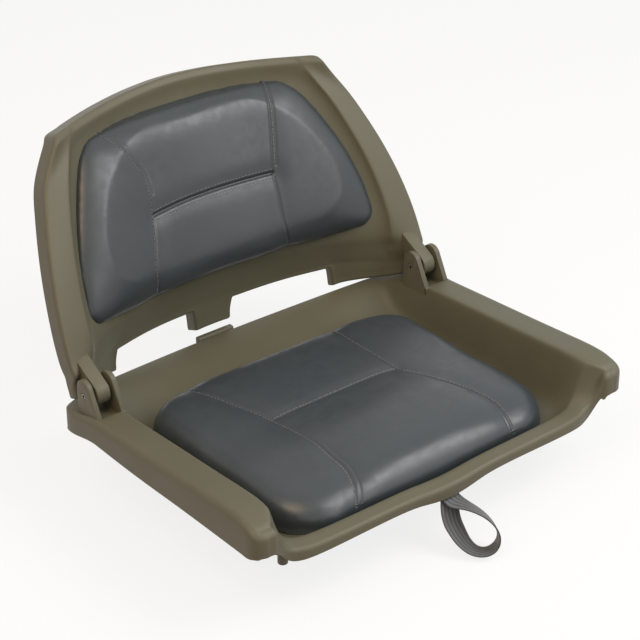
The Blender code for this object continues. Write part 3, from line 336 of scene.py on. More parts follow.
def face_along(bm, direction):
    """Turns an open sheet so that its faces point this way."""
    bmesh.ops.recalc_face_normals(bm, faces=bm.faces)
    if sum((face.normal * face.calc_area() for face in bm.faces), Vector()).dot(direction) < 0:
        bmesh.ops.reverse_faces(bm, faces=bm.faces)


def grow_wall(bm, back, profile):
    """Grows a wall from a sheet's open edge. profile(point) lists how far out and back each loop lies."""
    following = {}
    for candidate in bm.edges:
        if candidate.is_boundary:
            corner = candidate.link_loops[0]
            following[corner.vert] = corner.link_loop_next.vert
    loop = [next(iter(following))]
    while following[loop[-1]] != loop[0]:
        loop.append(following[loop[-1]])
    count = len(loop)
    outward = []
    for i, vert in enumerate(loop):
        pairs = ((loop[i - 1], vert), (vert, loop[(i + 1) % count]))
        sides = [(b.co - a.co).cross(-back).normalized() for a, b in pairs]
        total = sides[0] + sides[1]
        outward.append(total / max(total.length_squared / 2, 0.5))
    profiles = [profile(vert.co) for vert in loop]
    starts = [vert.co.copy() for vert in loop]
    previous = loop
    for step in range(len(profiles[0])):
        current = []
        for start, out, steps in zip(starts, outward, profiles):
            current.append(bm.verts.new(start + out * steps[step][0] + back * steps[step][1]))
        for i in range(count):
            j = (i + 1) % count
            bm.faces.new((previous[j], previous[i], current[i], current[j]))
        previous = current


def block(points, low_end, high_end, axis="X"):
    """A closed solid with this outline between two heights along an axis."""
    place_at = {"X": lambda a, b, c: (c, a, b), "Z": lambda a, b, c: (a, b, c)}[axis]
    bm = bmesh.new()
    ends = [[bm.verts.new(place_at(a, b, c)) for a, b in points] for c in (low_end, high_end)]
    bm.faces.new(ends[0])
    bm.faces.new(list(reversed(ends[1])))
    for i in range(len(points)):
        j = (i + 1) % len(points)
        bm.faces.new((ends[0][i], ends[1][i], ends[1][j], ends[0][j]))
    bmesh.ops.recalc_face_normals(bm, faces=bm.faces)
    return bm


def moulded(bm, name, rounding, bores=()):
    """A moulded lug: a block with drilled bores and rounded edges."""
    made = to_object(bm, name)
    for bore in bores:
        cut = made.modifiers.new("bore", "BOOLEAN")
        cut.operation = "DIFFERENCE"
        cut.object = bore
    bevel = made.modifiers.new("rounding", "BEVEL")
    bevel.width = rounding
    bevel.segments = 3
    bevel.limit_method = "ANGLE"
    bevel.angle_limit = math.radians(50)
    return applied(made)


def joined(name, parts, finish):
    """One object from several, with smooth shading up to a sharp edge."""
    bm = bmesh.new()
    for part in parts:
        bm.from_mesh(part.data)
        bpy.data.objects.remove(part)
    made = to_object(bm, name, finish)
    for polygon in made.data.polygons:
        polygon.material_index = 0
    made.data.set_sharp_from_angle(angle=math.radians(42))
    return made


# %% [markdown]
# ## The pan
# The pan is a shallow tray: two raised arms, walls that slope in to a flat floor, a low rail in front and a
# floor that climbs to a bowed rear edge. The rows run from the rail to the rear edge, and each row's points
# run from an arm to the middle. The arm's inner ridge turns outwards near the front.

# %% The pan's numbers
HALF = 0.2555
FRONT_REACH, RAIL_REACH, REAR_REACH, CORNER_REACH = 0.206, 0.207, 0.208, 0.138
ARM_WIDTH, PLAN_CORNER = 0.040, 0.006
WALL = 0.003
FLOOR_TOP = 0.016
ARM_TOP, ARM_CLIMB, ARM_BOTTOM, ARM_FRONT_BOTTOM = 0.0643, 0.0214, 0.0383, 0.0442
ARM_DROOP, ARM_DROOP_RUN, POCKET_TOP = 0.0100, 0.040, 0.0605
ARM_ROUND, ARM_RIDGE = 0.008, 0.004
RIDGE_FLARE, RIDGE_FLARE_RUN = 0.013, 0.034
INNER_RUN = 0.020
RAIL_TOP, RAIL_BOTTOM, RAIL_LOW_BOTTOM, RAIL_CREST, RAIL_RUN = 0.035, 0.0232, 0.0208, 0.009, 0.007
NOSE_HALF, NOSE_DROP, CORNER_BACK = 0.066, 0.0095, 0.008
REAR_RISE_SHARE, REAR_TOP, CORNER_TOP = 0.3, 0.0225, 0.057
REAR_SKIRT, CORNER_SKIRT = 0.013, 0.028
STOP_WIDTH, STOP_REACH, STOP_THICK, STOP_RISE = 0.051, 0.009, 0.007, 0.0015
PIN_REACH, PIN_HEIGHT, PIN_BORE_RADIUS = 0.105, 0.083, 0.0034
EAR_RADIUS, EAR_LIFT, EAR_THICK, EAR_INNER, EAR_OUTER = 0.0125, 0.0065, 0.006, 0.2135, 0.2495
EAR_FOOT, EAR_ROOT = 0.028, 0.010


# %% The pan's face
def rear_edge(x):
    """Depth and height of the rear edge."""
    share = min(abs(x) / HALF, 1.0) ** 1.6
    return mix(CORNER_REACH, REAR_REACH, (1 - share) ** 0.716), mix(REAR_TOP, CORNER_TOP, share)


def nose(x):
    """The rail's dip in the middle, where the webbing hangs."""
    return max(1 - (x / NOSE_HALF) ** 2, 0.0) ** 2


def pan_columns(y):
    """Across a row: distance from the middle, height, and how much of the arm it is."""
    climb = min((PIN_REACH - y) / (PIN_REACH + FRONT_REACH), 1.0)
    droop = max(1 - (y + FRONT_REACH) / ARM_DROOP_RUN, 0.0) ** 2
    top = ARM_TOP + ARM_CLIMB * climb - ARM_DROOP * droop
    ridge = HALF - ARM_WIDTH
    floor = ridge - INNER_RUN
    drop = top - FLOOR_TOP
    arm = [(x, top, 1.0) for x in (HALF - ARM_ROUND, HALF - ARM_ROUND - WALL, mix(ridge, HALF, 0.5),
                                   ridge + ARM_RIDGE)]
    slope = [(ridge, top - ARM_RIDGE * 0.6, 1.0), (mix(ridge, floor, 0.30), top - drop * 0.42, 0.80),
             (mix(ridge, floor, 0.62), top - drop * 0.80, 0.45), (floor, FLOOR_TOP + drop * 0.05, 0.18),
             (floor - INNER_RUN * 0.5, FLOOR_TOP, 0.05)]
    return arm + slope + [(x, FLOOR_TOP, 0.0) for x in (floor * 0.80, floor * 0.40, NOSE_HALF * 0.7,
                                                        STOP_WIDTH / 2, 0.0)]


# %% The pan's rows
def pan_rows():
    """Rows of the pan's face, from the rail to the rear edge. The left half mirrors the right one."""
    front_shares = (1.0, 1.0, 1.0, 1.0, 0.93, 0.46, 0.13, 0.03, 0.0, 0.0, 0.0, 0.0, 0.0, 0.0)
    back_shares = (0.0, 0.0, 0.0, 0.0, 0.4, 0.9, 1.0, 0.7, 0.3, 0.0, 0.0, 0.0, 0.0, 0.0)
    slope_shares = (8.0, 8.0, 8.0, 8.0, 8.0, 7.5, 6.5, 5.5, 2.8, 1.3, 1.0, 1.0, 1.0, 1.0)
    flare_shares = (0.0, 0.1, 0.35, 1.0, 1.0, 0.8, 0.5, 0.2, 0.0, 0.0, 0.0, 0.0, 0.0, 0.0)
    crest = PLAN_CORNER + RAIL_CREST
    inward = [0.0, PLAN_CORNER * 0.3, PLAN_CORNER, crest]
    inward += [crest + RAIL_RUN * times for times in (0.5, 1, 3.5, 8)]
    foot = PIN_REACH - EAR_FOOT
    rows = []
    for index, into in enumerate(inward):
        row = []
        round_share = (0.0, 0.3, 1.0)[min(index, 2)]
        pull = PLAN_CORNER - PLAN_CORNER * math.sqrt(1 - (1 - round_share) ** 2)
        columns = pan_columns(-FRONT_REACH + into)
        shares = zip(columns, front_shares, back_shares, flare_shares, slope_shares)
        for (x, z, _), high, behind, flare, reach in shares:
            y = into - mix(RAIL_REACH - ARM_ROUND * 0.6, FRONT_REACH - ARM_ROUND, high)
            y += CORNER_BACK * behind * max(1 - into / RIDGE_FLARE_RUN, 0.0)
            height = mix(RAIL_TOP, columns[0][1], high) - NOSE_DROP / 2 * nose(x)
            if index < 2:
                height -= mix(0.1, 0.2, high) * ARM_ROUND * (1 - round_share)
            height = mix(height, z, smooth((into - crest) / (RAIL_RUN * reach)))
            squeeze = pull * min(max((x - (HALF - ARM_WIDTH)) / (ARM_WIDTH - ARM_ROUND), 0.0), 1.0)
            turned_out = RIDGE_FLARE * flare * max(1 - into / RIDGE_FLARE_RUN, 0.0) ** 2
            row.append(Vector((x - squeeze + turned_out, y, height)))
        rows.append(row)
    start = -FRONT_REACH + inward[-1]
    for share in (0.3, 0.65, 0.98, 1.0):
        y = mix(start, foot, share)
        rows.append([Vector((x, y, z)) for x, z, _ in pan_columns(y)])
    for share in (0.02, 0.07, 0.25, 0.48, 0.68, 0.85, 1.0):
        row = []
        for x, z, arm in pan_columns(foot):
            depth, height = rear_edge(x + (ARM_ROUND if x > HALF - ARM_WIDTH else 0.0))
            flat = REAR_RISE_SHARE * (1 - arm)
            rising = smooth((share - flat) / (1 - flat))
            outer = x > HALF - ARM_ROUND * 1.5
            shift = (ARM_ROUND - ARM_RIDGE) * smooth(share) - ARM_RIDGE * 0.4 * share**8 if outer else 0.0
            if x < HALF - ARM_ROUND:
                pocket = min(z, mix(z, POCKET_TOP, arm))
            else:
                pocket = mix(z, CORNER_TOP, smooth(share * 1.3 - 0.3))
            y = mix(foot, depth - ARM_RIDGE, share)
            row.append(Vector((x + shift, y, mix(pocket, height, rising))))
        rows.append(row)
    return [[Vector((-p.x, p.y, p.z)) for p in row[:-1]] + row[::-1] for row in rows]


# %% The pan's wall
def pan_wall(point):
    """The outer wall's loops: how far out and how far down from the face's edge."""
    front = -FRONT_REACH + ARM_ROUND * 1.4
    side = smooth((abs(point.x) - (HALF - ARM_WIDTH * 1.35)) / (ARM_WIDTH * 0.85))
    rail = mix(RAIL_BOTTOM, RAIL_LOW_BOTTOM, smooth((abs(point.x) - 0.135) / 0.04))
    rail -= NOSE_DROP * nose(point.x)
    if point.y < front + CORNER_BACK and side < 1 or point.y < front:
        radius = mix(ARM_ROUND * 0.6, ARM_ROUND, side)
        bottom = mix(rail, ARM_FRONT_BOTTOM + 0.003, side)
    elif point.y < PIN_REACH - EAR_FOOT:
        radius = ARM_ROUND
        bottom = mix(ARM_BOTTOM, ARM_FRONT_BOTTOM, min(max(point.y / front, 0.0), 1.0) ** 0.6)
    else:
        share = smooth((point.y - (PIN_REACH - EAR_FOOT)) / (CORNER_REACH - (PIN_REACH - EAR_FOOT)))
        radius = mix(ARM_ROUND, ARM_RIDGE, share)
        low_edge = rear_edge(point.x)[1] - mix(REAR_SKIRT, CORNER_SKIRT, (abs(point.x) / HALF) ** 2)
        bottom = mix(ARM_BOTTOM, low_edge, share)
    down = point.z - bottom
    tight = 0.15
    return [(radius * 0.45, radius * tight), (radius * (1 - tight), radius * 0.6), (radius, radius * 1.1),
            (radius, down - WALL / 2), (radius, down)]


# %% [markdown]
# The ears are two plates on each side that hold a hinge pin between them: round over the pin, with a long
# slope in front. They are outlines pulled to their thickness, drilled for the pin and rounded along their
# edges. Under the pan, ribs stiffen the floor and bosses carry the threaded inserts.


# %% The pan's lugs, bosses and feet
def pin_bores():
    bores = []
    for side in (-1, 1):
        outline = arc((PIN_REACH, PIN_HEIGHT), PIN_BORE_RADIUS, 0, 345, 23)
        drill = block(outline, side * (EAR_INNER - WALL), side * (EAR_OUTER + WALL))
        bores.append(to_object(drill, f"bore {side}"))
    return bores


def ear_outline():
    centre = (PIN_REACH, PIN_HEIGHT + EAR_LIFT)
    foot = (PIN_REACH - EAR_FOOT, ARM_TOP - ARM_RIDGE / 2)
    rear, root = PIN_REACH + EAR_RADIUS, CORNER_TOP - EAR_ROOT
    return arc(centre, EAR_RADIUS, 0, 158, 26) + [foot, (foot[0], root), (rear, root)]


bores = pin_bores()
pan_parts = []
for side in (-1, 1):
    for inner_face in (EAR_INNER, EAR_OUTER - EAR_THICK):
        ear = block(ear_outline(), side * inner_face, side * (inner_face + EAR_THICK))
        pan_parts.append(moulded(ear, "ear", 0.9 * MM, [bores[(side + 1) // 2]]))
    lip_y = PIN_REACH - EAR_FOOT
    lip = [(lip_y + back * MM, ARM_TOP + up * MM)
           for back, up in ((-0.5, -8), (2.5, -8), (2.5, 0.8), (-0.5, 1.2))]
    pan_parts.append(moulded(block(lip, side * EAR_INNER, side * EAR_OUTER), "pocket lip", 0.8 * MM))
    foot_outline = arc((side * 0.199, -FRONT_REACH + 0.032), 0.0055, 0, 345, 23)
    pan_parts.append(moulded(block(foot_outline, 0.003, 0.020, "Z"), "foot", 0.8 * MM))

PATTERN_HALF = 0.0635
corners = [(x, y) for x in (-PATTERN_HALF, PATTERN_HALF) for y in (-PATTERN_HALF, PATTERN_HALF)]
for x, y in corners:
    pocket = to_object(block(arc((x, y), 5.8 * MM, 0, 345, 23), -0.005, 0.0093, "Z"), "pocket")
    boss = block(arc((x, y), 0.012, 0, 348, 29), 0, 0.015, "Z")
    pan_parts.append(moulded(boss, "boss", 0.6 * MM, [pocket]))
    bpy.data.objects.remove(pocket)
pan_parts.append(moulded(block(arc((0, 0), 0.017, 0, 348, 29), 0, 0.015, "Z"), "hub", 0.6 * MM))
ledge_y = REAR_REACH - WALL * 0.6
ledge_end = ledge_y + STOP_REACH
ledge = [(ledge_y, REAR_TOP - 0.011), (ledge_end, REAR_TOP - STOP_THICK), (ledge_end, REAR_TOP + STOP_RISE),
         (ledge_y + 0.002, REAR_TOP + STOP_RISE), (ledge_y + 0.001, REAR_TOP - 0.004)]
pan_parts.append(moulded(block(ledge, -STOP_WIDTH / 2, STOP_WIDTH / 2), "ledge", 1.2 * MM))
STRAP_ACROSS, PAD_HALF = 0.001, 0.0155
pad = [(-0.198, 0.0126), (-0.173, 0.0126), (-0.173, 0.0146), (-0.198, 0.021)]
pan_parts.append(moulded(block(pad, STRAP_ACROSS - PAD_HALF, STRAP_ACROSS + PAD_HALF), "strap pad", 0.8 * MM))

# %% [markdown]
# The ribs follow a plan of straight lines, so Geometry Nodes sweeps one rectangle along all of them: change
# the rib's thickness or height once, and every rib follows.


# %% Helpers for Geometry Nodes
def tree_called(name, sizes):
    """A Geometry Nodes tree with these sizes and a finish as inputs, and its input and output nodes."""
    tree = bpy.data.node_groups.new(name, "GeometryNodeTree")
    for direction in ("INPUT", "OUTPUT"):
        tree.interface.new_socket("Geometry", in_out=direction, socket_type="NodeSocketGeometry")
    for size in sizes:
        tree.interface.new_socket(size, in_out="INPUT", socket_type="NodeSocketFloat")
    tree.interface.new_socket("Finish", in_out="INPUT", socket_type="NodeSocketMaterial")
    return tree, add(tree, "NodeGroupInput"), add(tree, "NodeGroupOutput")


def ended(tree, last, given, result):
    """The end of a tree: plain geometry with its finish."""
    whole = add(tree, "GeometryNodeRealizeInstances", {0: last.outputs[0]})
    coated = add(tree, "GeometryNodeSetMaterial",
                 {"Geometry": whole.outputs[0], "Material": given.outputs["Finish"]})
    tree.links.new(coated.outputs[0], result.inputs[0])


def grown(obj, tree, values):
    """Runs a tree on an object with these input values, and keeps the result as plain mesh."""
    modifier = obj.modifiers.new(tree.name, "NODES")
    modifier.node_group = tree
    for item in tree.interface.items_tree:
        if item.item_type == "SOCKET" and item.in_out == "INPUT" and item.name in values:
            modifier[item.identifier] = values[item.name]
    obj.data.update()
    return applied(obj)


# %% Ribs by Geometry Nodes
rib_tree, given, result = tree_called("ribs", ("Thickness", "Height"))
lines = add(rib_tree, "GeometryNodeMeshToCurve", {0: given.outputs["Geometry"]})
upright = add(rib_tree, "GeometryNodeSetCurveNormal", {0: lines.outputs[0]}, mode="Z_UP")
section = add(rib_tree, "GeometryNodeCurvePrimitiveQuadrilateral",
              {"Width": given.outputs["Thickness"], "Height": given.outputs["Height"]})
swept = add(rib_tree, "GeometryNodeCurveToMesh",
            {"Curve": upright.outputs[0], "Profile Curve": section.outputs[0], "Fill Caps": True})
ended(rib_tree, swept, given, result)

RIB_HEIGHT = 0.0125
front_end, rear_end, side_end = -0.151, 0.146, 0.1955
P = PATTERN_HALF
rib_lines = [((x, front_end), (x, rear_end)) for x in (-P, P)]
rib_lines += [((-side_end, y), (side_end, y)) for y in (-P, P)]
rib_lines += [((-P, -P), (P, P)), ((-P, P), (P, -P))]
bm = bmesh.new()
for number, ends in enumerate(rib_lines):
    middle_height = 0.015 - RIB_HEIGHT / 2 + 0.05 * MM * number
    bm.edges.new([bm.verts.new((x, y, middle_height)) for x, y in ends])
values = {"Thickness": 0.004, "Height": RIB_HEIGHT, "Finish": plastic}
pan_parts.append(grown(to_object(bm, "ribs"), rib_tree, values))
print("ribs:", len(rib_lines))

# %% [markdown]
# Now the face gets its wall, is smoothed and thickened, and the lugs, bosses, feet and ribs join it in one
# mesh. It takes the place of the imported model's pan and rides on the seat's body.

# %% Put the pan together
bm = grid_sheet(pan_rows())
face_along(bm, Vector((0, 0, 1)))
grow_wall(bm, Vector((0, 0, -1)), pan_wall)
pan_skin = to_object(bm, "pan skin")
subdivided(pan_skin, 2)
eased_out(pan_skin)
wall = pan_skin.modifiers.new("wall", "SOLIDIFY")
wall.thickness = WALL
wall.offset = -1
pan = joined("pan", [applied(pan_skin), *pan_parts], plastic)
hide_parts("seat_shell")
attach(pan, "seat")
print("pan triangles:", sum(len(polygon.vertices) - 2 for polygon in pan.data.polygons))

# %% [markdown]
# ## The back
# The back is a bucket: a cylinder's wall that leans, with a raised border at its sides and top and a lower
# edge cut into feet, a middle tab and two notches. Its knuckles reach forward between the ears.

# %% The back's numbers
LINE_REACH, LINE_HEIGHT = 0.101, 0.087
BACK_RISE, BACK_CORNER_RISE, BACK_HOLLOW = 0.2382, 0.2310, 0.0012
HIP_WIDTH, SHOULDER_WIDTH, HIP_RISE = 0.4950, 0.3720, 0.017
WAIST_RISE, WAIST_DEPTH, FOOT_DEPTH = 0.033, 0.104, 0.113
LEAN = math.radians(22.3)
BUCKET_RADIUS = 0.418
BACK_DEPTH, BACK_TOP_DEPTH, BACK_ROUND = 0.0230, 0.0260, 0.004
BAND_WIDTH, BAND_FLARE, TOP_BAND, BAND_SLOPE, BAND_PROUD, BAND_FALL = 0.026, 0.005, 0.007, 0.014, 0.007, 0.005
FOOT_OUTER, FOOT_DROP_IN, FOOT_DROP_OUT, FOOT_STRAIGHT_SHARE = 0.234, 0.042, 0.0262, 0.55
FOOT_DEPTH_SHARE, TAB_DEPTH_SHARE = 0.5, 0.8
TAB_DROP, TAB_WIDTH, NOTCH_END, NOTCH_DROP_IN, NOTCH_DROP_OUT = 0.0540, 0.053, 0.1595, 0.0275, 0.0180
KNUCKLE_RADIUS, KNUCKLE_INNER, KNUCKLE_OUTER = 0.0140, 0.2235, 0.240
FOLD_CLEARANCE = 0.0025


# %% The back's face
def back_depth(x, rise, straight=None):
    """How far behind its line the face lies: a leaning bucket over the waist, a short curl back under it."""
    centre = WAIST_DEPTH + math.tan(LEAN) * (rise - WAIST_RISE)
    if rise < WAIST_RISE:
        if straight is None:
            straight = FOOT_STRAIGHT_SHARE * smooth((abs(x) - NOTCH_END) / (FOOT_OUTER - NOTCH_END))
        curl = mix(WAIST_DEPTH, FOOT_DEPTH, smooth((WAIST_RISE - rise) / (WAIST_RISE + NOTCH_DROP_IN)))
        centre = mix(curl, centre, straight)
    return centre - (BUCKET_RADIUS - math.sqrt(BUCKET_RADIUS**2 - x * x))


def back_point(x, rise, proud=0.0, straight=None):
    """A point of the back's face, moved out along its normal."""
    here = back_depth(x, rise, straight)
    along = Vector((WALL, back_depth(x + WALL, rise, straight) - here, 0))
    upward = Vector((0, back_depth(x, rise + WALL, straight) - here, WALL))
    return Vector((x, LINE_REACH + here, LINE_HEIGHT + rise)) + along.cross(upward).normalized() * proud


def behind_ears(point):
    """The point, or the place straight behind it that clears the ears as the back folds."""
    clear = EAR_LIFT + EAR_RADIUS + FOLD_CLEARANCE
    above = point.z - PIN_HEIGHT
    if abs(above) >= clear:
        return point
    return Vector((point.x, max(point.y, PIN_REACH + math.sqrt(clear**2 - above**2)), point.z))


def back_top(x):
    share = min(abs(x) / (SHOULDER_WIDTH / 2), 1.0)
    return mix(BACK_RISE, BACK_CORNER_RISE, share**1.8) - BACK_HOLLOW * 6.75 * share**2 * (1 - share)


def notch_drop(x):
    share = (x - TAB_WIDTH / 2) / (NOTCH_END - TAB_WIDTH / 2)
    return mix(NOTCH_DROP_IN, NOTCH_DROP_OUT, min(max(share, 0.0), 1.0))


# %% The back's rows
def back_rows():
    """Rows of the back's face from the feet up. None marks where the outline is cut away."""
    foot_inner = FOOT_OUTER - BAND_SLOPE
    tab, notch, near = TAB_WIDTH / 2 / foot_inner, NOTCH_END / foot_inner, BACK_ROUND * 1.1 / foot_inner
    panel_shares = (mix(notch, 1, 0.5), notch + near * 2, notch, notch - near, mix(tab, notch, 0.66),
                    mix(tab, notch, 0.33), tab + near, tab, tab - near * 2, 0.0)
    levels = [("foot", 0.0), ("foot", 0.25), ("notch", 0.0), ("notch", 0.2), ("rise", 0.0), ("rise", 0.75)]
    levels += [("rail", share) for share in (0.0, 0.10, 0.22, 0.36, 0.50, 0.64, 0.78, 0.88)]
    levels += [("top", BAND_SLOPE + TOP_BAND), ("top", TOP_BAND), ("top", TOP_BAND * 0.5), ("top", 0.0)]
    rows = []
    for kind, value in levels:
        if kind == "top":
            low_level = BACK_CORNER_RISE - value
        elif kind == "rail":
            low_level = mix(HIP_RISE + BACK_ROUND, BACK_CORNER_RISE - BAND_SLOPE - TOP_BAND, value)
        else:
            low_level = HIP_RISE * value
        along = max(low_level - HIP_RISE, 0.0) / (BACK_CORNER_RISE - HIP_RISE)
        half = mix(HIP_WIDTH, SHOULDER_WIDTH, along**2.0) / 2
        pull = {0.0: 0.4, TOP_BAND * 0.5: 0.1}.get(value, 0.0) if kind == "top" else 0.0
        edge_x = half - BACK_ROUND - pull * TOP_BAND
        inner = half - BAND_WIDTH - BAND_FLARE * (1 - along) ** 3
        if kind in ("foot", "notch"):
            inner = FOOT_OUTER - BACK_ROUND
        base = inner - BAND_SLOPE
        ridge_back = 0.2 if kind in ("rail", "top") else 0.5
        across = [edge_x, mix(edge_x, inner, 0.5), inner, inner - BAND_SLOPE * ridge_back, base]
        across += [base * share for share in panel_shares]
        row = []
        for column, x in enumerate(across):
            side = 0.0
            if column < 5:
                side = (-BAND_FALL / BAND_PROUD, 0.25, 1.0, 1 - ridge_back * 1.2, 0.0)[column]
            fade = {"foot": 0.0, "notch": 0.1, "rise": 0.25 + value / 4}.get(kind, 1.0)
            rise = low_level
            if kind == "top":
                rise = back_top(x) - BACK_ROUND - value
                fade = 1.0
                side = max(side, {0.0: 0.85, TOP_BAND * 0.5: 1.0, TOP_BAND: 0.9}.get(value, 0.0))
            elif kind == "rail":
                rise = mix(low_level, low_level + back_top(x) - BACK_CORNER_RISE, value)
            elif kind == "foot":
                share = (x - NOTCH_END) / (FOOT_OUTER - NOTCH_END)
                rise = BACK_ROUND - (TAB_DROP if column >= 12 else mix(FOOT_DROP_IN, FOOT_DROP_OUT, share))
                rise = mix(rise, BACK_ROUND - notch_drop(x), value)
                x += {7: BACK_ROUND, 12: -BACK_ROUND}.get(column, 0.0)
            elif kind == "notch":
                rise = (BACK_ROUND - notch_drop(x)) * (1 - value)
            if kind == "foot" and (column < 2 or 8 <= column <= 11):
                row.append(None)
                continue
            point = back_point(x, rise, BAND_PROUD * side * fade, 1.0 if column < 2 else None)
            row.append(behind_ears(point) if column < 4 and kind in ("notch", "rise") else point)
        rows.append(row)
    return [[p and Vector((-p.x, p.y, p.z)) for p in row[:-1]] + row[::-1] for row in rows]


# %% The back's wall
def back_wall(point):
    """The outer wall's loops. It gets shallow at the feet and where it stands behind an ear."""
    rise = point.z - LINE_HEIGHT
    if rise < WAIST_RISE and abs(point.x) > FOOT_OUTER - BACK_ROUND / 2:
        stood_back = point.y - LINE_REACH - back_depth(point.x, rise, 1.0)
        depth = max(BACK_DEPTH - max(stood_back - BAND_FALL, 0.0) * math.cos(LEAN), BACK_ROUND * 1.5)
    else:
        low_share = smooth((HIP_RISE - rise) / (HIP_RISE + NOTCH_DROP_OUT))
        high_share = smooth((rise - HIP_RISE) / (BACK_CORNER_RISE - HIP_RISE))
        low_depth = mix(TAB_DEPTH_SHARE, FOOT_DEPTH_SHARE, smooth((abs(point.x) - TAB_WIDTH / 2) / 0.012))
        depth = mix(BACK_DEPTH, BACK_TOP_DEPTH, high_share) * mix(1, low_depth, low_share)
    return [(BACK_ROUND * 0.5, BACK_ROUND * 0.15), (BACK_ROUND * 0.9, BACK_ROUND * 0.6),
            (BACK_ROUND, BACK_ROUND * 1.2), (BACK_ROUND, depth - WALL / 2), (BACK_ROUND, depth)]


# %% [markdown]
# The back is put together as the pan was. Each knuckle is an outline round the pin that runs up into the
# border, and it is drilled with the same bore as the ears, so the two always line up.

# %% Put the back together
backward = Vector((0, math.cos(LEAN), -math.sin(LEAN)))
bm = grid_sheet(back_rows())
face_along(bm, -backward)
grow_wall(bm, backward, back_wall)
back_skin = to_object(bm, "back skin")
subdivided(back_skin, 2)
eased_out(back_skin)
wall = back_skin.modifiers.new("wall", "SOLIDIFY")
wall.thickness = WALL
wall.offset = -1

middle_x = mix(KNUCKLE_INNER, KNUCKLE_OUTER, 0.5)
upper = back_point(middle_x, HIP_RISE + BACK_ROUND * 2.5, -0.5 * MM, 1.0)
lower = behind_ears(back_point(middle_x, -NOTCH_DROP_OUT + BACK_ROUND * 2, 0.0, 1.0)) + backward * WALL / 2
knuckle_outline = arc((PIN_REACH, PIN_HEIGHT), KNUCKLE_RADIUS, 130, 290, 22)
knuckle_outline += [(lower.y, lower.z), (upper.y + WALL, upper.z - 0.002), (upper.y, upper.z)]
back_parts = [applied(back_skin)]
for side in (-1, 1):
    knuckle = block(knuckle_outline, side * KNUCKLE_INNER, side * KNUCKLE_OUTER)
    back_parts.append(moulded(knuckle, "knuckle", 1.2 * MM, [bores[(side + 1) // 2]]))
for bore in bores:
    bpy.data.objects.remove(bore)
back = joined("back", back_parts, plastic)
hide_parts("back_shell")
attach(back, "back")
print("back triangles:", sum(len(polygon.vertices) - 2 for polygon in back.data.polygons))

# %% [markdown]
# ## Cushions
# Each cushion is foam on a board, covered with vinyl. It starts as a crowned closed block that is a little
# too small. A voxel remesh gives it even faces, and a short cloth simulation with air pressure rounds it as
# the foam does. Only the smooth part of that swelling is kept, because fine folds would read as dents, and
# the side that lies on the shell stays flat. The seams are sewn in afterwards.

# %% The cushions' numbers
SEAT_FRONT, SEAT_REAR, SEAT_HALF, SEAT_CORNER = 0.187, 0.118, 0.191, 0.062
SEAT_REAR_ACROSS, SEAT_REAR_ALONG = 0.128, 0.047
SEAT_LOW, SEAT_FULL, SEAT_DOME = 0.011, 0.030, 0.0055
SEAT_ROLLS, SEAT_SWELL = (0.030, 0.058, 0.040), 0.20
BACK_LOW, BACK_HIGH, BACK_HALF, BACK_TAPER = 0.020, 0.215, 0.206, 0.062
BACK_CORNER, BACK_ARCH = 0.022, 0.017
BACK_SIDE, BACK_FULL, BACK_DOME = 0.004, 0.0215, 0.003
BACK_ROLLS = (0.088, 0.030, 0.045)
VOXEL, SWELL_CAP, PRESSURE, SIM_FRAMES, SMOOTHING_PASSES = 0.004, 5 * MM, 4.0, 20, 40


# %% The cushions' forms
def seat_half(y):
    front_share = min(max(1 - (y + SEAT_FRONT) / SEAT_CORNER, 0.0), 1.0)
    rear_share = min(max(1 - (SEAT_REAR - y) / SEAT_REAR_ALONG, 0.0), 1.0)
    return (SEAT_HALF - SEAT_CORNER * (1 - math.sqrt(1 - front_share**2))
            - SEAT_REAR_ACROSS * (1 - math.sqrt(1 - rear_share**2)))


def back_half(rise):
    along = (rise - BACK_LOW) / (BACK_HIGH - BACK_LOW)
    nearest = min(rise - BACK_LOW, BACK_HIGH - rise)
    round_share = min(max(1 - nearest / BACK_CORNER, 0.0), 1.0)
    return BACK_HALF - BACK_TAPER * along**2.4 - BACK_CORNER * (1 - math.sqrt(1 - round_share**2))


def fullness(across, along, reach, length, rolls):
    """How full the top is: 1 in the middle, rolling down over these widths at the sides and both ends."""
    full = 1.0
    for distance, roll in zip(((1 - abs(across)) * reach, along * length, (1 - along) * length), rolls):
        short = 1 - min(max(distance / roll, 0.0), 1.0)
        full *= (1 - short**2.4) ** 0.5
    return full, (1 - across**2) * (1 - (2 * along - 1) ** 2)


def seat_place(x, v, height):
    """The front panel is stuffed fuller than the rest."""
    swell = SEAT_SWELL * smooth((-0.02 - v) / 0.07) * (1 - (x / SEAT_HALF) ** 2)
    return Vector((x, v, FLOOR_TOP + height * (1 + swell)))


def back_place(x, v, height):
    along = min((v - BACK_LOW) / (BACK_HIGH - BACK_LOW), 1.0)
    arch = BACK_ARCH * (abs(x) / BACK_HALF) ** 2.2 * (1 - along) ** 1.5
    return back_point(x, v + arch, height)


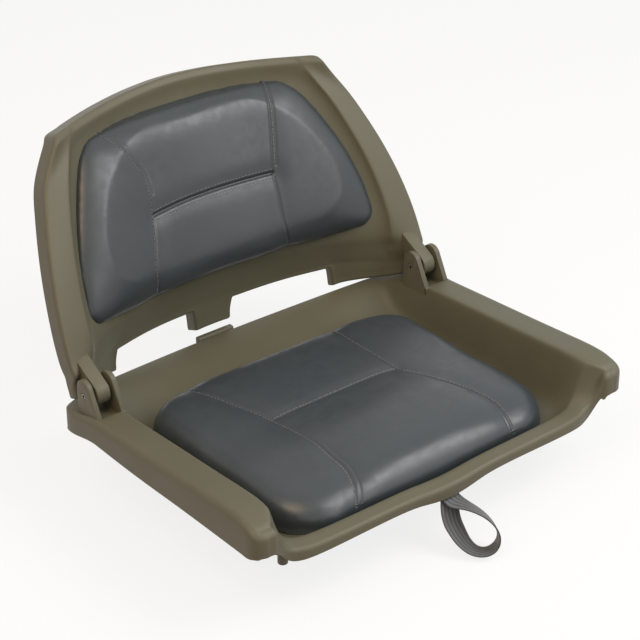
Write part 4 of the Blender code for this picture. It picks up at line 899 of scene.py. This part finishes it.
# %% A cushion's block
def cushion_form(name, spans, half, place_at, heights, rolls, inset, base):
    """A closed block over the cushion's outline: a crowned top over a flat base."""
    steps_across, steps_along = 44, 36
    bm = bmesh.new()
    grids = []
    for is_top in (True, False):
        grid = []
        for j in range(steps_along + 1):
            along = (1 - math.cos(math.pi * j / steps_along)) / 2
            v = mix(spans[0] + inset, spans[1] - inset, along)
            reach = half(mix(spans[0], spans[1], along)) - inset
            row = []
            for i in range(steps_across + 1):
                across = math.sin(math.pi * (i / steps_across - 0.5))
                full, dome = fullness(across, along, reach, spans[1] - spans[0], rolls)
                low, high, more = heights
                height = mix(low, high, full) + more * dome - inset if is_top else base
                row.append(bm.verts.new(place_at(across * reach, v, height)))
            grid.append(row)
        grids.append(grid)
    for grid in grids:
        for j in range(steps_along):
            for i in range(steps_across):
                bm.faces.new((grid[j][i], grid[j][i + 1], grid[j + 1][i + 1], grid[j + 1][i]))
    rim = [(0, i) for i in range(steps_across)] + [(j, steps_across) for j in range(steps_along)]
    rim += [(steps_along, i) for i in range(steps_across, 0, -1)]
    rim += [(j, 0) for j in range(steps_along, 0, -1)]
    for (j, i), (l, k) in zip(rim, rim[1:] + rim[:1]):
        bm.faces.new((grids[0][j][i], grids[0][l][k], grids[1][l][k], grids[1][j][i]))
    bmesh.ops.recalc_face_normals(bm, faces=bm.faces)
    return to_object(bm, name, vinyl)


# %% A cushion's swelling
def puffed(obj, resting):
    """Inflates a closed block a little. resting is the direction of the side that lies on the shell."""
    remesh = obj.modifiers.new("voxels", "REMESH")
    remesh.mode = "VOXEL"
    remesh.voxel_size = VOXEL
    relax = obj.modifiers.new("relax", "SMOOTH")
    relax.factor = 0.5
    relax.iterations = 12
    applied(obj)
    obj.data.shade_smooth()
    before = coordinates(obj.data)
    normals = np.array([vert.normal for vert in obj.data.vertices])
    cloth = obj.modifiers.new("cloth", "CLOTH")
    cloth.settings.use_pressure = True
    cloth.settings.uniform_pressure_force = PRESSURE
    cloth.settings.effector_weights.gravity = 0.0
    for frame_number in range(1, SIM_FRAMES + 1):
        scene.frame_set(frame_number)
    graph = bpy.context.evaluated_depsgraph_get()
    after = coordinates(obj.evaluated_get(graph).data)
    obj.modifiers.clear()
    scene.frame_set(1)
    moved = after - before
    ends = np.array([tuple(edge.vertices) for edge in obj.data.edges])
    shared = np.bincount(ends.ravel(), minlength=len(moved))[:, None]
    for _ in range(SMOOTHING_PASSES):
        total = np.zeros_like(moved)
        np.add.at(total, ends[:, 0], moved[ends[:, 1]])
        np.add.at(total, ends[:, 1], moved[ends[:, 0]])
        moved = total / shared
    length = np.linalg.norm(moved, axis=1, keepdims=True)
    moved *= np.minimum(length, SWELL_CAP) / np.maximum(length, 1e-9)
    facing = np.clip((normals @ np.array(resting) - 0.2) / 0.5, 0.0, 1.0)[:, None]
    after = before + moved * (1 - facing)
    obj.data.vertices.foreach_set("co", after.astype(np.float32).ravel())
    swell = np.linalg.norm(after - before, axis=1).max()
    print(obj.name, "swells by up to, mm:", round(float(swell) / MM, 1))
    subdivided(obj, 1)
    return applied(obj)


seat_cushion = cushion_form("seat_cushion", (-SEAT_FRONT, SEAT_REAR), seat_half, seat_place,
                            (SEAT_LOW, SEAT_FULL, SEAT_DOME), SEAT_ROLLS, 1.5 * MM, 0.0)
puffed(seat_cushion, (0, 0, -1))
back_cushion = cushion_form("back_cushion", (BACK_LOW, BACK_HIGH), back_half, back_place,
                            (BACK_SIDE, BACK_FULL, BACK_DOME), BACK_ROLLS, 0.5 * MM, -1.0 * MM)
puffed(back_cushion, tuple(backward))

# %% [markdown]
# ## Seams
# Two long seams and one cross seam divide each cushion into four panels. Where the cover is sewn through,
# it is pulled down: a narrow crease with a wider dip round it. Rows of topstitching run beside some of the
# seams. Each seam is a line over the cushion's plan, dropped onto the puffed surface.


# %% Seam lines
LIFT = 0.08


def surface_of(obj):
    """A cushion's faces, ready for rays."""
    faces = [tuple(face.vertices) for face in obj.data.polygons]
    return BVHTree.FromPolygons([vert.co for vert in obj.data.vertices], faces)


def dropped(surface, flat_points, place_at):
    """Drops plan points onto a surface, and gives each place and the surface's normal there."""
    found = []
    for x, v in flat_points:
        start, base_point = place_at(x, v, LIFT), place_at(x, v, 0.0)
        hit, normal, _, _ = surface.ray_cast(start, (base_point - start).normalized())
        if hit is not None:
            found.append((hit, normal))
    return found


def seam(points, step=1.5 * MM):
    """A smooth plan line through a few points in millimetres."""
    corners = np.array(points) * MM
    padded = np.vstack([2 * corners[0] - corners[1], corners, 2 * corners[-1] - corners[-2]])
    line = []
    for a, b, c, d in zip(padded, padded[1:], padded[2:], padded[3:]):
        count = max(int(np.linalg.norm(c - b) / step), 1)
        for t in np.arange(count) / count:
            point = b * 2 + (c - a) * t + (a * 2 - b * 5 + c * 4 - d) * t**2 + (b * 3 - a - c * 3 + d) * t**3
            line.append(tuple(point / 2))
    return [*line, tuple(corners[-1])]


def beside(line, offset):
    """A plan line moved sideways."""
    moved = []
    for k, (x, v) in enumerate(line):
        before, after = line[max(k - 1, 0)], line[min(k + 1, len(line) - 1)]
        run = Vector((after[0] - before[0], after[1] - before[1])).normalized()
        moved.append((x - run.y * offset, v + run.x * offset))
    return moved


# %% Sewing
def sewn(obj, place_at, creases, fine_reach=7 * MM):
    """Pulls the surface down along lines. creases holds (plan line, depth, width) rows."""
    surface = surface_of(obj)
    lines = [([hit for hit, _ in dropped(surface, line, place_at)], depth, width)
             for line, depth, width in creases]
    every = [point for line, depth, width in lines if width < 4 * MM for point in line]
    near = KDTree(len(every))
    for k, point in enumerate(every):
        near.insert(point, k)
    near.balance()
    bm = bmesh.new()
    bm.from_mesh(obj.data)
    close = {vert for vert in bm.verts if near.find(vert.co)[2] < fine_reach}
    edges = [e for e in bm.edges if e.verts[0] in close and e.verts[1] in close]
    bmesh.ops.subdivide_edges(bm, edges=edges, cuts=1, use_grid_fill=True, smooth=0.0)
    bm.normal_update()
    shift = {}
    for line, depth, width in lines:
        tree_of_points = KDTree(len(line))
        for k, point in enumerate(line):
            tree_of_points.insert(point, k)
        tree_of_points.balance()
        for vert in bm.verts:
            distance = tree_of_points.find(vert.co)[2]
            if distance < width * 3:
                shift[vert] = shift.get(vert, 0.0) + depth * math.exp(-((distance / width) ** 2))
    for vert, depth in shift.items():
        vert.co -= vert.normal * depth
    bm.to_mesh(obj.data)
    bm.free()
    obj.data.shade_smooth()


# %% The seams' plans, mm, and the creases
SEAT_LINES = {
    "left": seam(((-111, -200), (-109, -189), (-106, -180), (-100, -169), (-95, -156), (-91, -138),
                  (-90, -118), (-87, -88), (-87.5, -60), (-90.5, -19), (-101, 25), (-110, 61), (-120, 92))),
    "right": seam(((117, -200), (115.5, -189), (114.5, -177), (116, -162), (117, -140), (112.5, -113),
                   (106, -93), (97, -68), (89, -44), (81.5, -22), (81, 32), (82.5, 89), (85, 115))),
    "cross": seam(((-90, -19), (-55, -21), (0, -21.5), (40, -21.5), (81, -22))),
}
BACK_LINES = {
    "left": seam(((-101, 18), (-101, 32), (-103, 58), (-96, 84), (-87, 112), (-86, 136), (-89, 156),
                  (-99, 176), (-108, 194), (-117, 212))),
    "right": seam(((95, 18), (92, 32), (88.5, 57), (89.5, 85), (90.5, 111), (95, 132), (101, 158),
                   (107.5, 188), (113, 213))),
    "cross": seam(((-86, 109), (-50, 110.5), (0, 111), (45, 111), (90, 111))),
}


def part_of(line, low=-1.0, high=1.0):
    return [point for point in line if low <= point[1] <= high]


seat_creases = []
for name in ("left", "right"):
    seat_creases += [(SEAT_LINES[name], 1.2 * MM, 1.3 * MM), (SEAT_LINES[name], 2.0 * MM, 16 * MM)]
seat_creases += [(SEAT_LINES["cross"], 0.7 * MM, 1.2 * MM), (SEAT_LINES["cross"], 0.8 * MM, 9 * MM)]
seat_creases.append((beside(part_of(SEAT_LINES["left"], high=-0.095), -6 * MM), 0.6 * MM, 1.2 * MM))
seat_creases.append((beside(part_of(SEAT_LINES["right"], high=-0.11), 5 * MM), 0.5 * MM, 1.2 * MM))
back_creases = []
for name in ("left", "right"):
    back_creases += [(BACK_LINES[name], 1.2 * MM, 1.4 * MM), (BACK_LINES[name], 1.4 * MM, 15 * MM)]
back_creases += [(BACK_LINES["cross"], 3.0 * MM, 2.0 * MM), (BACK_LINES["cross"], 2.4 * MM, 13 * MM)]
back_creases.append((beside(part_of(BACK_LINES["right"], low=0.12), -5 * MM), 1.2 * MM, 1.4 * MM))
back_creases.append((beside(part_of(BACK_LINES["left"], low=0.13), -4.5 * MM), 0.7 * MM, 1.2 * MM))
sewn(seat_cushion, seat_place, seat_creases)
sewn(back_cushion, back_place, back_creases)

# %% [markdown]
# The stitches are one small capsule, placed by Geometry Nodes on points that carry two directions: along
# the seam, and out of the cushion. A real stitch is 4 mm long and sinks into the cover at both ends.

# %% Stitches by Geometry Nodes
stitch_tree, given, result = tree_called("stitches", ("Length", "Thickness"))
along = add(stitch_tree, "GeometryNodeInputNamedAttribute", {"Name": "along"}, data_type="FLOAT_VECTOR")
out = add(stitch_tree, "GeometryNodeInputNamedAttribute", {"Name": "out"}, data_type="FLOAT_VECTOR")
turn = add(stitch_tree, "FunctionNodeAlignRotationToVector", {"Vector": along.outputs["Attribute"]}, axis="X")
turn = add(stitch_tree, "FunctionNodeAlignRotationToVector",
           {"Rotation": turn.outputs[0], "Vector": out.outputs["Attribute"]}, axis="Z", pivot_axis="X")
capsule = add(stitch_tree, "GeometryNodeMeshUVSphere", {"Segments": 6, "Rings": 5, "Radius": 0.5})
size = add(stitch_tree, "ShaderNodeCombineXYZ", {0: given.outputs["Length"], 1: given.outputs["Thickness"],
                                                 2: given.outputs["Thickness"]})
rows = add(stitch_tree, "GeometryNodeInstanceOnPoints",
           {"Points": given.outputs["Geometry"], "Instance": capsule.outputs[0], "Rotation": turn.outputs[0],
            "Scale": size.outputs[0]})
ended(stitch_tree, rows, given, result)


def stitched(name, cushion, place_at, plan_lines, pitch=4.2 * MM):
    """Rows of stitches on a cushion, along plan lines."""
    surface = surface_of(cushion)
    places = []
    for line in plan_lines:
        trail = dropped(surface, line, place_at)
        travelled, due = 0.0, pitch / 2
        for (a, _), (b, normal) in zip(trail, trail[1:]):
            travelled += (b - a).length
            if travelled >= due:
                places.append((b, (b - a).normalized(), normal))
                due += pitch
    bm = bmesh.new()
    for point, _, normal in places:
        bm.verts.new(point + normal * 0.1 * MM)
    made = to_object(bm, name)
    for label, column in (("along", 1), ("out", 2)):
        attribute = made.data.attributes.new(label, "FLOAT_VECTOR", "POINT")
        attribute.data.foreach_set("vector", [value for row in places for value in row[column]])
    grown(made, stitch_tree, {"Length": 3.0 * MM, "Thickness": 0.75 * MM, "Finish": thread})
    made.data.shade_smooth()
    print(name, "stitches:", len(places))
    return made


seat_rows = [beside(SEAT_LINES[name], offset * MM)
             for name, offset in (("left", 2.2), ("right", -2.2), ("cross", 2.2))]
back_rows_sewn = [beside(BACK_LINES["left"], 2.2 * MM),
                  beside(part_of(BACK_LINES["right"], low=0.12), -2.2 * MM)]
back_rows_sewn += [beside(BACK_LINES["cross"], offset) for offset in (4.5 * MM, -4.0 * MM, -6.5 * MM)]
seat_stitches = stitched("seat_stitches", seat_cushion, seat_place, seat_rows)
back_stitches = stitched("back_stitches", back_cushion, back_place, back_rows_sewn)

for piece, body, replaced in ((seat_cushion, "seat", ("seat_cushion_cover", "seat_cushion_foam")),
                              (back_cushion, "back", ("back_cushion_cover", "back_cushion_foam"))):
    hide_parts(*replaced)
    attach(piece, body)
for piece, body in ((seat_stitches, "seat"), (back_stitches, "back")):
    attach(piece, body)

# %% [markdown]
# ## The hold-down loop
# One piece of 25 mm webbing, both ends clamped under the front rail. It leaves flat, turns on its edge as
# it comes round, and hangs twisted in front. It is a band with a soft rounded edge, swept along the packed
# model's own path.

# %% The webbing
STRAP_WIDTH, STRAP_THICK = 0.025, 0.0016
STRAP_ROOT = Vector((STRAP_ACROSS, -0.198, 0.01055))
LOOP_PATH = (  # from the clamped ends' front, mm: across, forward, up; then the width's turn and dip, degrees
    (-4.2, 8.8, -11.0, 0, -3), (-5.2, 14.4, -23.5, 1, -6), (-4.4, 20.7, -31.3, 5, -8),
    (-3.2, 26.9, -38.5, 12, -9), (-1.4, 32.4, -43.9, 20, -10), (1.4, 37.9, -48.3, 28, -10),
    (5.2, 42.9, -50.9, 37, -10), (9.7, 47.2, -51.7, 46, -11), (14.7, 50.6, -50.9, 53, -13),
    (19.7, 52.7, -48.3, 57, -16), (24.7, 53.3, -43.5, 57, -20), (28.0, 51.7, -37.8, 54, -26),
    (29.1, 48.9, -32.8, 51, -28), (28.3, 44.2, -27.3, 49, -28), (26.3, 38.8, -22.2, 47, -26),
    (23.1, 32.7, -17.5, 45, -23), (18.3, 25.7, -13.2, 42, -19), (12.7, 18.4, -9.4, 36, -15),
    (7.2, 12.4, -6.0, 24, -9), (3.2, 8.5, -3.0, 10, -4))


def loop_stations():
    """Points along the loop with the band's width direction, from the lower clamped end to the upper one."""
    layer = Vector((0, 0, STRAP_THICK / 2 + 0.15 * MM))
    ends = [Vector((0, y, 0)) for y in (0.022, 0.0, -0.0045)]
    level = (1.0, 0.0, 0.0)
    stations = [(*(STRAP_ROOT - layer + end), *level) for end in ends]
    for across, forward, up, turn, dip in LOOP_PATH:
        turn, dip = math.radians(turn), math.radians(dip)
        wide = (math.cos(turn) * math.cos(dip), math.sin(turn) * math.cos(dip), math.sin(dip))
        stations.append((*(STRAP_ROOT + Vector((across, -forward, up)) * MM), *wide))
    stations += [(*(STRAP_ROOT + layer + end), *level) for end in reversed(ends)]
    for _ in range(3):
        cut = [stations[0]]
        for a, b in zip(stations, stations[1:]):
            cut += [tuple(mix(p, q, share) for p, q in zip(a, b)) for share in (0.25, 0.75)]
        stations = [*cut, stations[-1]]
    return stations


stations = loop_stations()
lower_half = [(-0.5, 0.0), (-0.49, -0.35), (-0.46, -0.5), (-0.25, -0.5), (0.0, -0.5), (0.25, -0.5),
              (0.46, -0.5), (0.49, -0.35)]
section = lower_half + [(-a, -b) for a, b in lower_half]
bm = bmesh.new()
band = bm.loops.layers.uv.new("band")
rings, travelled = [], [0.0]
for k, values in enumerate(stations):
    here = Vector(values[:3])
    before, after = Vector(stations[max(k - 1, 0)][:3]), Vector(stations[min(k + 1, len(stations) - 1)][:3])
    run = (after - before).normalized()
    wide = Vector(values[3:])
    wide = (wide - run * wide.dot(run)).normalized()
    thin = run.cross(wide)
    rings.append([bm.verts.new(here + wide * STRAP_WIDTH * a + thin * STRAP_THICK * b) for a, b in section])
    travelled.append(travelled[-1] + (after - here).length)
for k, (ring, following_ring) in enumerate(zip(rings, rings[1:])):
    for i in range(len(section)):
        j = (i + 1) % len(section)
        face = bm.faces.new((ring[i], ring[j], following_ring[j], following_ring[i]))
        spots = ((i, k), (j, k), (j, k + 1), (i, k + 1))
        for corner, (column, station) in zip(face.loops, spots):
            corner[band].uv = (section[column][0] * STRAP_WIDTH, travelled[station])
bm.faces.new(rings[0][::-1])
bm.faces.new(rings[-1])
bmesh.ops.recalc_face_normals(bm, faces=bm.faces)
loop = to_object(bm, "webbing_loop", webbing)
loop.data.set_sharp_from_angle(angle=math.radians(60))
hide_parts("strap_loop", "strap_ends")
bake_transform(loop)
print("webbing, mm:", round(travelled[-1] / MM))

# %% [markdown]
# ## Studio
# A pale floor and three broad soft lamps: the key from the front right, a weak one in front, and a warm
# fill from the left. The room's light is warm from below, as it is over a light floor, which gives the
# plastic's shaded walls their brown tone. The background is white for the camera and in reflections only,
# so it adds no light to the seat.

# %% The room's light
world = bpy.data.worlds.new("studio")
scene.world = world
world.use_nodes = True
tree = world.node_tree
sky = tree.nodes["Background"]
direction = add(tree, "ShaderNodeTexCoord").outputs["Generated"]
height = add(tree, "ShaderNodeSeparateXYZ", {0: direction})
share = add(tree, "ShaderNodeMapRange", {0: height.outputs[2], 1: -0.6, 2: 0.8})
room = add(tree, "ShaderNodeMix", {0: share.outputs[0], 6: linear("#8a6c4c", 1.55),
                                   7: linear("#a4aaad", 1.35)}, data_type="RGBA")
WHITE = (1.0, 1.0, 1.0, 1.0)
seen = add(tree, "ShaderNodeLightPath").outputs
through = add(tree, "ShaderNodeMath", {0: seen["Is Camera Ray"], 1: seen["Is Transmission Ray"]},
              operation="MAXIMUM")
seen_any = add(tree, "ShaderNodeMath", {0: through.outputs[0], 1: seen["Is Glossy Ray"]}, operation="MAXIMUM")
shown = add(tree, "ShaderNodeMix", {0: seen_any.outputs[0], 6: room.outputs[2], 7: WHITE}, data_type="RGBA")
tree.links.new(shown.outputs[2], sky.inputs["Color"])
sky.inputs["Strength"].default_value = 1.0

# %% The floor
FLOOR_Z = cad_bounds[0][2] - 1 * MM
floor_finish, tree, shader = finish_called("pale floor", Roughness=0.9)
glow = add(tree, "ShaderNodeEmission", {"Color": WHITE, "Strength": 1.0})
seen = add(tree, "ShaderNodeLightPath").outputs
seen_any = add(tree, "ShaderNodeMath", {0: seen["Is Camera Ray"], 1: seen["Is Glossy Ray"]},
               operation="MAXIMUM")
amount = add(tree, "ShaderNodeMath", {0: seen_any.outputs[0], 1: 0.82}, operation="MULTIPLY")
own = add(tree, "ShaderNodeMix", {0: seen_any.outputs[0], 6: linear("#8f7355"), 7: linear("#eeece8")},
          data_type="RGBA")
tree.links.new(own.outputs[2], shader.inputs["Base Color"])
both = add(tree, "ShaderNodeMixShader", {0: amount.outputs[0], 1: shader.outputs[0], 2: glow.outputs[0]})
tree.links.new(both.outputs[0], tree.nodes["Material Output"].inputs["Surface"])
bm = bmesh.new()
bmesh.ops.create_grid(bm, x_segments=2, y_segments=2, size=6.0, matrix=Matrix.Translation((0, 0, FLOOR_Z)))
floor = to_object(bm, "floor", floor_finish)

# %% The lamps
CENTRE = Vector((0, 0.03, 0.12))
LAMPS = (  # the direction from the seat, distance and width in metres, watts, tone
    ("key", (0.46, -0.52, 0.72), 2.2, 1.3, 26.0, "#ffffff"),
    ("front", (0.30, -0.87, 0.38), 2.6, 1.1, 7.0, "#ffffff"),
    ("fill", (-0.60, -0.20, 0.77), 2.2, 1.5, 22.0, "#f5d2a8"))
for name, toward, distance, width, power, tone in LAMPS:
    lamp = bpy.data.lights.new(name, "AREA")
    lamp.shape = "DISK"
    lamp.size = width
    lamp.energy = power
    lamp.color = linear(tone)[:3]
    holder = bpy.data.objects.new(name, lamp)
    aim = Vector(toward).normalized()
    turned = aim.to_track_quat("Z", "Y").to_matrix().to_4x4()
    holder.matrix_world = Matrix.Translation(CENTRE + aim * distance) @ turned
    scene.collection.objects.link(holder)
